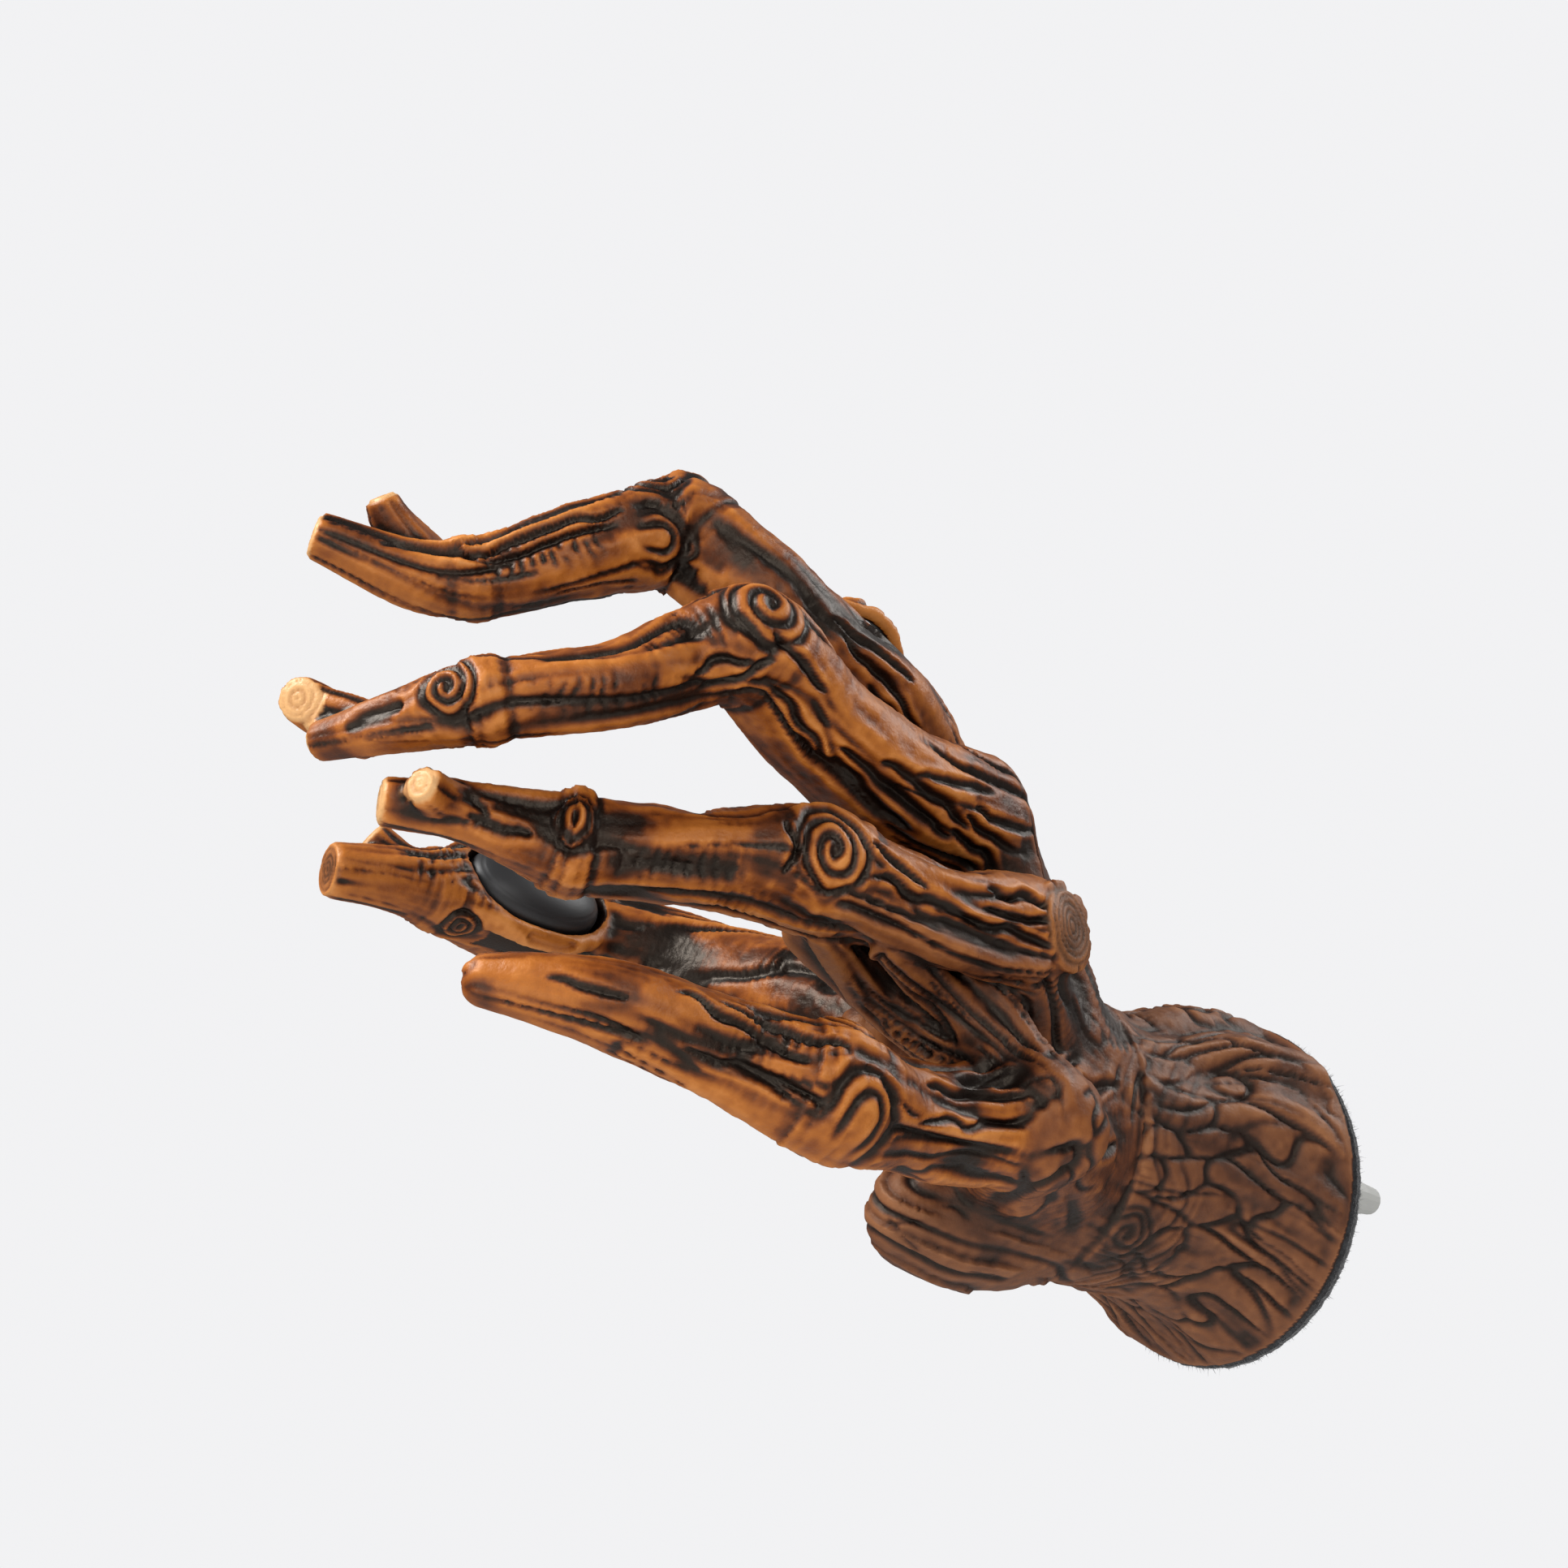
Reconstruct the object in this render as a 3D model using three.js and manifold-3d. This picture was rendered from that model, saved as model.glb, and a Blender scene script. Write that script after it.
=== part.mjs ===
// Wall hanger for a guitar: a branch-like open hand that holds a headstock.
// Millimetres. The origin is the middle of the face that lies on the wall.
// +Z is up, -Y points out into the room, so the wall is the plane y = 0.
import * as THREE from 'three';
import { mergeVertices } from 'three/addons/utils/BufferGeometryUtils.js';
import Module from 'manifold-3d';

const wasm = await Module();
wasm.setup();

// ---- driving dimensions ----
const GAP = 0.3;              // clearance between any two pieces
const BASE_R = 32;            // radius of the trunk foot
const FELT_T = 2;             // felt ring thickness
const FELT_RIM = 0.8;         // how far the felt stands in from the foot's edge
const POCKET_R = 26;          // radius of the pocket in the back of the trunk
const PLATE_T = 3;            // wall plate and hang plate thickness
const WALL_PLATE_W = 30;
const WALL_PLATE_H = 24;
const WALL_PLATE_Z = 3;       // height of the wall plate's middle
const HOOK_W = 10;            // width of the hook on the wall plate
const HOOK_T = 3;             // thickness of the hook's lip
const HOOK_Z0 = 1;            // underside of the hook's arm
const HOOK_Z1 = 6;            // top of the arm, which carries the hang plate
const HOOK_TOP = 14;          // top of the lip
const LIFT = 11;              // how far the hand lifts to come off the hook
const SPLIT_Y = -38;          // plane between trunk and palm
const WALL_SCREW_R = 2;
const WALL_SCREW_HEAD_R = 4;
const WALL_SCREW_L = 34;
const WALL_SCREW_X = 10;
const ANCHOR_R = 3;
const ANCHOR_Y0 = 2.6;        // the anchor's mouth sits below the wall's skim coat
const ANCHOR_L = 28;
const FIX_SCREW_R = 1.5;
const FIX_SCREW_HEAD_R = 2.8;
const FIX_SCREW_L = 11;
const HOOK_ROOM = 1;          // free space round the hook inside the trunk
// The hang-plate screws stand on a ring midway from the hook's room to the pocket wall.
const FIX_RING_R = (HOOK_TOP + HOOK_ROOM + POCKET_R) / 2;
const FIX_ANGLES = [90, 210, 330];
const INSERT_R = 2.6;
const INSERT_L = 8;
const CORE_R = 3;             // main rod of the armature
const ROD_R = 1.5;            // rods inside thumb and fingers
const SIDES = 12;             // facets round a limb

// ---- helpers ----
const V = (x, y, z) => new THREE.Vector3(x, y, z);

function toManifold(geometry) {
  const g = geometry.clone();
  g.deleteAttribute('normal');
  g.deleteAttribute('uv');
  const m = mergeVertices(g, 1e-4);
  const mesh = new wasm.Mesh({
    numProp: 3,
    vertProperties: new Float32Array(m.attributes.position.array),
    triVerts: new Uint32Array(m.index.array),
  });
  return new wasm.Manifold(mesh);
}

function toGeometry(solid) {
  const mesh = solid.getMesh();
  const g = new THREE.BufferGeometry();
  g.setAttribute('position', new THREE.BufferAttribute(new Float32Array(mesh.vertProperties), 3));
  g.setIndex(new THREE.BufferAttribute(new Uint32Array(mesh.triVerts), 1));
  return g;
}

function join(first, ...others) {
  let solid = first;
  for (const other of others) {
    solid = solid.add(other);
  }
  return solid;
}

function cut(first, ...others) {
  let solid = first;
  for (const other of others) {
    solid = solid.subtract(other);
  }
  return solid;
}

// A closed limb: stations are [x, y, z, radius], grow widens it all round.
function limb(stations, grow = 0, steps = 2) {
  const path = new THREE.CatmullRomCurve3(stations.map((s) => V(s[0], s[1], s[2])), false, 'centripetal');
  const count = (stations.length - 1) * steps;
  const points = [];
  const radii = [];
  for (let i = 0; i <= count; i += 1) {
    const t = i / count;
    const at = t * (stations.length - 1);
    const k = Math.min(Math.floor(at), stations.length - 2);
    points.push(path.getPoint(t));
    radii.push(THREE.MathUtils.lerp(stations[k][3], stations[k + 1][3], at - k) + grow);
  }
  const tangents = points.map((p, i) => {
    const a = points[Math.max(i - 1, 0)];
    const b = points[Math.min(i + 1, count)];
    return b.clone().sub(a).normalize();
  });
  points[0] = points[0].clone().addScaledVector(tangents[0], -grow);
  points[count] = points[count].clone().addScaledVector(tangents[count], grow);
  let side = V(0, 0, 1).cross(tangents[0]);
  if (side.length() < 0.2) {
    side = V(1, 0, 0).cross(tangents[0]);
  }
  const vertices = [];
  for (let i = 0; i <= count; i += 1) {
    side.addScaledVector(tangents[i], -side.dot(tangents[i])).normalize();
    const up = tangents[i].clone().cross(side);
    for (let j = 0; j < SIDES; j += 1) {
      const turn = (2 * Math.PI * j) / SIDES;
      const p = points[i].clone();
      p.addScaledVector(side, radii[i] * Math.cos(turn));
      p.addScaledVector(up, radii[i] * Math.sin(turn));
      vertices.push(p.x, p.y, p.z);
    }
  }
  const start = vertices.length / 3;
  vertices.push(points[0].x, points[0].y, points[0].z);
  vertices.push(points[count].x, points[count].y, points[count].z);
  const faces = [];
  for (let j = 0; j < SIDES; j += 1) {
    const n = (j + 1) % SIDES;
    for (let i = 0; i < count; i += 1) {
      const a = i * SIDES;
      const b = a + SIDES;
      faces.push(a + j, a + n, b + n);
      faces.push(a + j, b + n, b + j);
    }
    faces.push(start, n, j);
    faces.push(start + 1, count * SIDES + j, count * SIDES + n);
  }
  const g = new THREE.BufferGeometry();
  g.setAttribute('position', new THREE.Float32BufferAttribute(vertices, 3));
  g.setIndex(faces);
  return toManifold(g);
}

function box(x0, x1, y0, y1, z0, z1) {
  const g = new THREE.BoxGeometry(x1 - x0, y1 - y0, z1 - z0);
  g.translate((x0 + x1) / 2, (y0 + y1) / 2, (z0 + z1) / 2);
  return toManifold(g);
}

// A turned solid whose axis is the Y direction through (x, z). Profile points are [radius, y].
function turned(profile, x, z, segments = 16) {
  const g = new THREE.LatheGeometry(profile.map((p) => new THREE.Vector2(p[0], p[1])), segments);
  g.translate(x, 0, z);
  return toManifold(g);
}

function discY(r, y0, y1, x, z, segments = 16) {
  return turned([[0, y0], [r, y0], [r, y1], [0, y1]], x, z, segments);
}

// An oval dome with a straight-sided foot, moved so its foot's middle is at centre, facing normal.
function ovalDome(centre, normal, halfLong, halfHigh, rise, foot) {
  const profile = [[0, -foot], [1, -foot], [1, 0]];
  const rings = 4;
  for (let i = 1; i <= rings; i += 1) {
    const a = (i / rings) * (Math.PI / 2);
    profile.push([i === rings ? 0 : Math.cos(a), rise * Math.sin(a)]);
  }
  const g = new THREE.LatheGeometry(profile.map((p) => new THREE.Vector2(p[0], p[1])), 18);
  g.scale(halfHigh, 1, halfLong);
  const y = normal.clone().normalize();
  const z = V(0, 1, 0);
  z.addScaledVector(y, -z.dot(y)).normalize();
  const x = y.clone().cross(z);
  g.applyMatrix4(new THREE.Matrix4().makeBasis(x, y, z).setPosition(centre));
  return toManifold(g);
}

function rod(points, radius, segments = 9) {
  const path = new THREE.CatmullRomCurve3(points, false, 'centripetal');
  const shape = new THREE.Shape();
  shape.absarc(0, 0, radius, 0, 2 * Math.PI, false);
  const g = new THREE.ExtrudeGeometry(shape, { steps: segments, curveSegments: 8, extrudePath: path });
  return toManifold(g);
}

const group = new THREE.Group();

function add(name, solid, color, roughness = 0.6, metalness = 0) {
  const material = new THREE.MeshStandardMaterial({ color, roughness, metalness });
  const mesh = new THREE.Mesh(toGeometry(solid), material);
  mesh.name = name;
  group.add(mesh);
}

// ---- limbs of the hand: [x, y, z, radius] ----
const FINGER_1 = [
  [5.5, -79, 59.5, 9.2],
  [13.5, -95, 64, 9],
  [16.5, -116, 70, 8.6],
  [14, -128, 77, 8.8],
  [9.5, -136, 83, 9],
  [5.5, -151, 76, 7.6],
  [-5, -170, 67.5, 5.6],
  [-12.5, -190, 71.5, 3.6],
];
const FINGER_1_STUB = [
  [9.5, -135, 85.5, 6.6],
  [7, -132, 95.5, 4.8],
];
const FINGER_1_TWIG = [
  [-10, -172, 73.5, 4.6],
  [-9.5, -178, 78, 3.4],
  [-8.5, -181, 81, 2.6],
];
const FINGER_2 = [
  [19.2, -82.5, 43, 11.6],
  [23.8, -102, 41.5, 10],
  [27.5, -121, 44, 8.8],
  [32, -137, 49, 8.6],
  [28, -147, 45, 7.2],
  [26.5, -159, 37, 6.2],
  [17.5, -174, 33, 5.8],
  [8, -183, 30.5, 4.4],
  [-4, -189.5, 30, 2.8],
];
const FINGER_2_TWIG = [
  [-1, -185, 34, 3.8],
  [-5, -188, 37, 3.1],
  [-9, -190.5, 40.5, 2.8],
];
const FINGER_3 = [
  [30, -81, 19, 8.6],
  [30.5, -100, 17, 7.8],
  [27.5, -112, 18.5, 8.6],
  [25.5, -120, 20, 9.2],
  [20.5, -137, 18.5, 7],
  [12, -154, 18.5, 6.8],
  [8, -170, 20, 4.4],
  [3.5, -182, 20, 3.4],
];
const FINGER_3_TWIG = [
  [6, -169, 21, 3.4],
  [11.5, -180, 20, 2.8],
];
const FINGER_4 = [
  [24.5, -74, -9.5, 9.6],
  [23.5, -88, -12.5, 8.8],
  [24, -102, -14.5, 8.6],
  [26, -117, -15.5, 9.2],
  [22.5, -133, -12, 7],
  [18.5, -150, -8, 6],
  [13, -160, -6, 4.8],
  [9, -165, -5, 4],
];
const THUMB = [
  [-3, -61, 9, 12.5],
  [-19.5, -63, 20.5, 13],
  [-51.5, -75, 38.5, 11.5],
  [-69.5, -95, 48, 10.5],
  [-69, -115, 50, 10],
  [-65.5, -132, 47, 7],
  [-65, -143, 46, 5.8],
  [-66.5, -155, 45, 4.8],
];
const THUMB_TWIG = [
  [-66, -140, 49.5, 3.8],
  [-67.5, -147, 54.5, 3.4],
];
const TRUNK = [
  [0, 3, -1, BASE_R + 1.5],
  [0, -12, 2.5, 28.4],
  [0, -24, 4, 25.6],
  [0, SPLIT_Y - 6, 1.5, 22.5],
];
const WRIST = [
  [0, SPLIT_Y + 8, 1.5, 24],
  [0.5, -42, 1.5, 22.5],
  [6, -56, 4, 18],
];
const METACARPALS = [
  [[3, -46, 5, 19], [8, -59, 13, 16.5], [11, -71, 32, 13], [7.5, -79, 52, 10]],
  [[11, -66, 20, 13], [15, -75, 34, 12.5], [17.2, -80, 43.2, 12]],
  [[3, -48, 4, 18], [11, -63, 10.5, 14.5], [25, -79, 17.5, 10]],
  [[20, -79, 21, 8.5], [36, -75, 20, 6.8]],
  [[19, -106, 19.5, 6.4], [18, -93, 16, 6], [19, -78, 11.5, 5.8], [13.5, -64, 9.5, 7.4]],
  [[16.5, -111, 17.5, 5.6], [15, -100, 13.5, 5.6], [14, -78, 7.5, 5.8], [7.5, -64, 4.5, 7]],
  [[-3.5, -84, 11.5, 5], [2, -78, 8, 6.4], [5, -66, 7, 8.6]],
  [[3, -48, 0, 19], [9, -60, -4, 17], [20, -72, -9, 12], [27, -76, -11, 10.4]],
  [[1, -46, -4, 19], [-3, -56, -9, 17], [-3, -67, -14.5, 12.8], [-2.5, -75, -17, 8.4]],
];

// ---- rubber pads ----
const THUMB_PAD_AT = V(-62.5, -115, 51);
const THUMB_PAD_N = V(0.92, 0, 0.39);
const FINGER_PAD_AT = V(11, -101, 72.5);
const FINGER_PAD_N = V(-0.75, 0, 0.66);
const thumbPad = (grow) => ovalDome(THUMB_PAD_AT, THUMB_PAD_N, 14 + grow, 9.5 + grow, 6, 3 + grow);
const fingerPad = (grow) => ovalDome(FINGER_PAD_AT, FINGER_PAD_N, 8.5 + grow, 7 + grow, 5, 2 + grow);

// ---- armature ----
function alongLimb(stations, from, to, root) {
  const path = new THREE.CatmullRomCurve3(stations.map((s) => V(s[0], s[1], s[2])), false, 'centripetal');
  const points = [];
  for (let i = 0; i <= 6; i += 1) {
    points.push(path.getPoint(THREE.MathUtils.lerp(from, to, i / 6)));
  }
  const back = points[0].clone().sub(points[1]).normalize();
  points.unshift(points[0].clone().addScaledVector(back, root));
  return points;
}
const CORE_PATH = [V(0, -14, 0), V(0, -40, 1), V(6, -54, 1), V(18, -66, 0)];
const RODS = {
  armature_finger_1: alongLimb(FINGER_1, 0, 0.72, 8),
  armature_finger_2: alongLimb(FINGER_2, 0, 0.72, 8),
  armature_finger_3: alongLimb(FINGER_3, 0, 0.72, 8),
  armature_finger_4: alongLimb(FINGER_4, 0, 0.72, 8),
  armature_thumb: alongLimb(THUMB, 0, 0.8, 5),
};
const coreRod = (grow) => rod(CORE_PATH, CORE_R + grow);
const rods = (grow) => Object.values(RODS).map((points) => rod(points, ROD_R + grow));

// ---- castings ----
const finger1 = (grow) => join(
  limb(FINGER_1, grow),
  limb(FINGER_1_STUB, grow, 1),
  limb(FINGER_1_TWIG, grow, 1),
);
const finger2 = (grow) => join(limb(FINGER_2, grow), limb(FINGER_2_TWIG, grow, 1));
const finger3 = (grow) => join(limb(FINGER_3, grow), limb(FINGER_3_TWIG, grow, 1));
const finger4 = (grow) => limb(FINGER_4, grow);
const thumb = (grow) => join(limb(THUMB, grow), limb(THUMB_TWIG, grow, 1));

const palmSide = box(-200, 200, -300, SPLIT_Y - GAP, -200, 200);
const trunkSide = box(-200, 200, SPLIT_Y, -FELT_T - GAP, -200, 200);
const palmBody = join(limb(WRIST), ...METACARPALS.map((stations) => limb(stations)));
const palm = cut(
  palmBody.intersect(palmSide),
  finger1(GAP),
  finger2(GAP),
  finger3(GAP),
  finger4(GAP),
  thumb(GAP),
  fingerPad(GAP),
  coreRod(GAP),
  ...rods(GAP),
);

const insertBores = [];
const fixPlaces = FIX_ANGLES.map((degrees) => {
  const turn = THREE.MathUtils.degToRad(degrees);
  return [FIX_RING_R * Math.cos(turn), FIX_RING_R * Math.sin(turn)];
});
const seatY = -2 * PLATE_T - 2 * GAP;
for (const [x, z] of fixPlaces) {
  insertBores.push(discY(INSERT_R + GAP, seatY - INSERT_L - 2, seatY + 1, x, z));
}
const lipFront = -2 * PLATE_T - 2 * GAP - HOOK_T;
const trunk = cut(
  limb(TRUNK, 0, 2).intersect(trunkSide),
  discY(POCKET_R, seatY, 5, 0, 0, 36),
  box(
    -HOOK_W / 2 - HOOK_ROOM,
    HOOK_W / 2 + HOOK_ROOM,
    lipFront - HOOK_ROOM,
    seatY + 1,
    HOOK_Z0 - LIFT - HOOK_ROOM,
    HOOK_TOP + HOOK_ROOM,
  ),
  coreRod(GAP),
  ...insertBores,
);

add('trunk_casting', trunk, 0x5a3324, 0.6);
add('palm_casting', palm, 0x4a2a1e, 0.6);
add('finger_1_casting', cut(finger1(0), ...rods(GAP), fingerPad(GAP)), 0x8a4a1c, 0.4);
add('finger_2_casting', cut(finger2(0), finger1(GAP), ...rods(GAP), fingerPad(GAP)), 0x8a4a1c, 0.4);
add('finger_3_casting', cut(finger3(0), finger2(GAP), ...rods(GAP)), 0x8a4a1c, 0.4);
add('finger_4_casting', cut(finger4(0), finger3(GAP), ...rods(GAP)), 0x8a4a1c, 0.4);
add('thumb_casting', cut(thumb(0), finger4(GAP), thumbPad(GAP), coreRod(GAP), ...rods(GAP)), 0x7a431c, 0.45);
add('thumb_pad', thumbPad(0), 0x141414, 0.55);
add('finger_pad', fingerPad(0), 0x141414, 0.55);

// ---- armature rods ----
add('armature_core', coreRod(0), 0x9a9da0, 0.4, 0.9);
for (const [name, points] of Object.entries(RODS)) {
  add(name, cut(rod(points, ROD_R), coreRod(GAP)), 0x9a9da0, 0.4, 0.9);
}

// ---- felt ring ----
add('felt_ring', turned([
  [POCKET_R + GAP, -FELT_T],
  [BASE_R - FELT_RIM, -FELT_T],
  [BASE_R - FELT_RIM, 0],
  [POCKET_R + GAP, 0],
  [POCKET_R + GAP, -FELT_T],
], 0, 0, 36), 0x0c0c0d, 0.95);

// ---- wall plate with its hook, and its two screws and anchors ----
const wallPlateZ0 = WALL_PLATE_Z - WALL_PLATE_H / 2;
const wallPlateZ1 = WALL_PLATE_Z + WALL_PLATE_H / 2;
const sinkHole = (x, z, shank, head, y0, y1) => turned([
  [0, y0 - 1],
  [head, y0 - 1],
  [head, y0 + 0.4],
  [shank, y0 + 0.4 + head - shank],
  [shank, y1 + 1],
  [0, y1 + 1],
], x, z);
const wallPlate = cut(
  join(
    box(-WALL_PLATE_W / 2, WALL_PLATE_W / 2, -PLATE_T, 0, wallPlateZ0, wallPlateZ1),
    box(-HOOK_W / 2, HOOK_W / 2, lipFront, -PLATE_T + 0.5, HOOK_Z0, HOOK_Z1),
    box(-HOOK_W / 2, HOOK_W / 2, lipFront, lipFront + HOOK_T, HOOK_Z0, HOOK_TOP),
  ),
  sinkHole(-WALL_SCREW_X, WALL_PLATE_Z, WALL_SCREW_R + 0.4, WALL_SCREW_HEAD_R + 0.4, -PLATE_T, 0),
  sinkHole(WALL_SCREW_X, WALL_PLATE_Z, WALL_SCREW_R + 0.4, WALL_SCREW_HEAD_R + 0.4, -PLATE_T, 0),
);
add('wall_plate', wallPlate, 0x8d9093, 0.4, 0.9);

for (const [i, x] of [-WALL_SCREW_X, WALL_SCREW_X].entries()) {
  const screw = turned([
    [0, -PLATE_T + 1],
    [1.2, -PLATE_T + 1],
    [1.2, -PLATE_T],
    [WALL_SCREW_HEAD_R, -PLATE_T],
    [WALL_SCREW_HEAD_R, -PLATE_T + 0.3],
    [WALL_SCREW_R, -PLATE_T + 0.3 + WALL_SCREW_HEAD_R - WALL_SCREW_R],
    [WALL_SCREW_R, WALL_SCREW_L - 7],
    [0, WALL_SCREW_L - 3],
  ], x, WALL_PLATE_Z);
  add(`wall_screw_${i + 1}`, screw, 0xa8a9ab, 0.35, 1);
  const anchor = turned([
    [WALL_SCREW_R + GAP, ANCHOR_Y0],
    [ANCHOR_R, ANCHOR_Y0],
    [ANCHOR_R, ANCHOR_Y0 + ANCHOR_L - 4],
    [ANCHOR_R - 0.4, ANCHOR_Y0 + ANCHOR_L],
    [WALL_SCREW_R + GAP, ANCHOR_Y0 + ANCHOR_L],
    [WALL_SCREW_R + GAP, ANCHOR_Y0],
  ], x, WALL_PLATE_Z);
  add(`wall_anchor_${i + 1}`, anchor, 0x9b9b98, 0.6);
}

// ---- hang plate in the trunk's pocket, its screws and their inserts ----
const hangY1 = -PLATE_T - GAP;
const hangY0 = hangY1 - PLATE_T;
const hangPlate = cut(
  discY(POCKET_R - GAP, hangY0, hangY1, 0, 0, 36),
  box(-HOOK_W / 2 - 0.5, HOOK_W / 2 + 0.5, hangY0 - 1, hangY1 + 1, HOOK_Z0 - LIFT - GAP, HOOK_Z1 + GAP),
  ...fixPlaces.map(([x, z]) => turned([
    [0, hangY0 - 1],
    [FIX_SCREW_R + GAP, hangY0 - 1],
    [FIX_SCREW_R + GAP, hangY1 - 0.4 - (FIX_SCREW_HEAD_R - FIX_SCREW_R)],
    [FIX_SCREW_HEAD_R + GAP, hangY1 - 0.4],
    [FIX_SCREW_HEAD_R + GAP, hangY1 + 1],
    [0, hangY1 + 1],
  ], x, z)),
);
add('hang_plate', hangPlate, 0x8d9093, 0.4, 0.9);

for (const [i, [x, z]] of fixPlaces.entries()) {
  const screw = turned([
    [0, hangY1 - 1],
    [0.9, hangY1 - 1],
    [0.9, hangY1],
    [FIX_SCREW_HEAD_R, hangY1],
    [FIX_SCREW_HEAD_R, hangY1 - 0.3],
    [FIX_SCREW_R, hangY1 - 0.3 - (FIX_SCREW_HEAD_R - FIX_SCREW_R)],
    [FIX_SCREW_R, hangY1 - FIX_SCREW_L],
    [0, hangY1 - FIX_SCREW_L],
  ].reverse(), x, z, 20);
  add(`plate_screw_${i + 1}`, screw, 0xa8a9ab, 0.35, 1);
  const insert = turned([
    [FIX_SCREW_R + GAP, seatY - INSERT_L],
    [INSERT_R, seatY - INSERT_L],
    [INSERT_R, seatY],
    [FIX_SCREW_R + GAP, seatY],
    [FIX_SCREW_R + GAP, seatY - INSERT_L],
  ], x, z, 12);
  add(`brass_insert_${i + 1}`, insert, 0xb08d3e, 0.35, 1);
}

export default group;
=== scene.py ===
"""Looks of a branch-like hand that hangs a guitar on a wall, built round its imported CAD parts."""

import math
from dataclasses import dataclass

import bpy
import numpy as np
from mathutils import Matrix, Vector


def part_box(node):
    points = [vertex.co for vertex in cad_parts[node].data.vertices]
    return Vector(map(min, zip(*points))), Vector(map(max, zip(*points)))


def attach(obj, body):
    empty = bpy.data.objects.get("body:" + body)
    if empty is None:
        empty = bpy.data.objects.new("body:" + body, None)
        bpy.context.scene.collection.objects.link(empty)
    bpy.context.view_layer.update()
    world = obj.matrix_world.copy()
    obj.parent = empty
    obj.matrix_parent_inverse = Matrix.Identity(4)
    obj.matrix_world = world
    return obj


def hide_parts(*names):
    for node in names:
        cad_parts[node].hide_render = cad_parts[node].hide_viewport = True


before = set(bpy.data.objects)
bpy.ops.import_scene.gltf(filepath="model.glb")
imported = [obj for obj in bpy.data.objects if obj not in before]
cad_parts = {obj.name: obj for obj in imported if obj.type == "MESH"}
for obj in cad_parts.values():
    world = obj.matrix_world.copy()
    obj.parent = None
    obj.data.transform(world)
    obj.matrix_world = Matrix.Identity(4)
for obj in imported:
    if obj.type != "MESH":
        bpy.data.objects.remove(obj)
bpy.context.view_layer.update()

import openvdb
from mathutils import Euler, Vector

MM = 0.001
VOXEL = 0.5  # size of a cell of the carved field, mm
BAND = 4.5  # the field is exact this far from a limb's surface, mm
FIELD_BOX = ((-88, -201, -44), (50, 2, 106))  # corners of the carved field, mm
SKIN_REACH = 5  # a limb's relief counts this far from its surface, mm
FELT_FIBRES = 2600
# widths in mm of the smooth unions between limbs
TWIG_FILLET, FINGER_FILLET, PALM_FILLET, THUMB_FILLET, TRUNK_FILLET = 1.6, 2.2, 2.8, 3.5, 5.0

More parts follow.
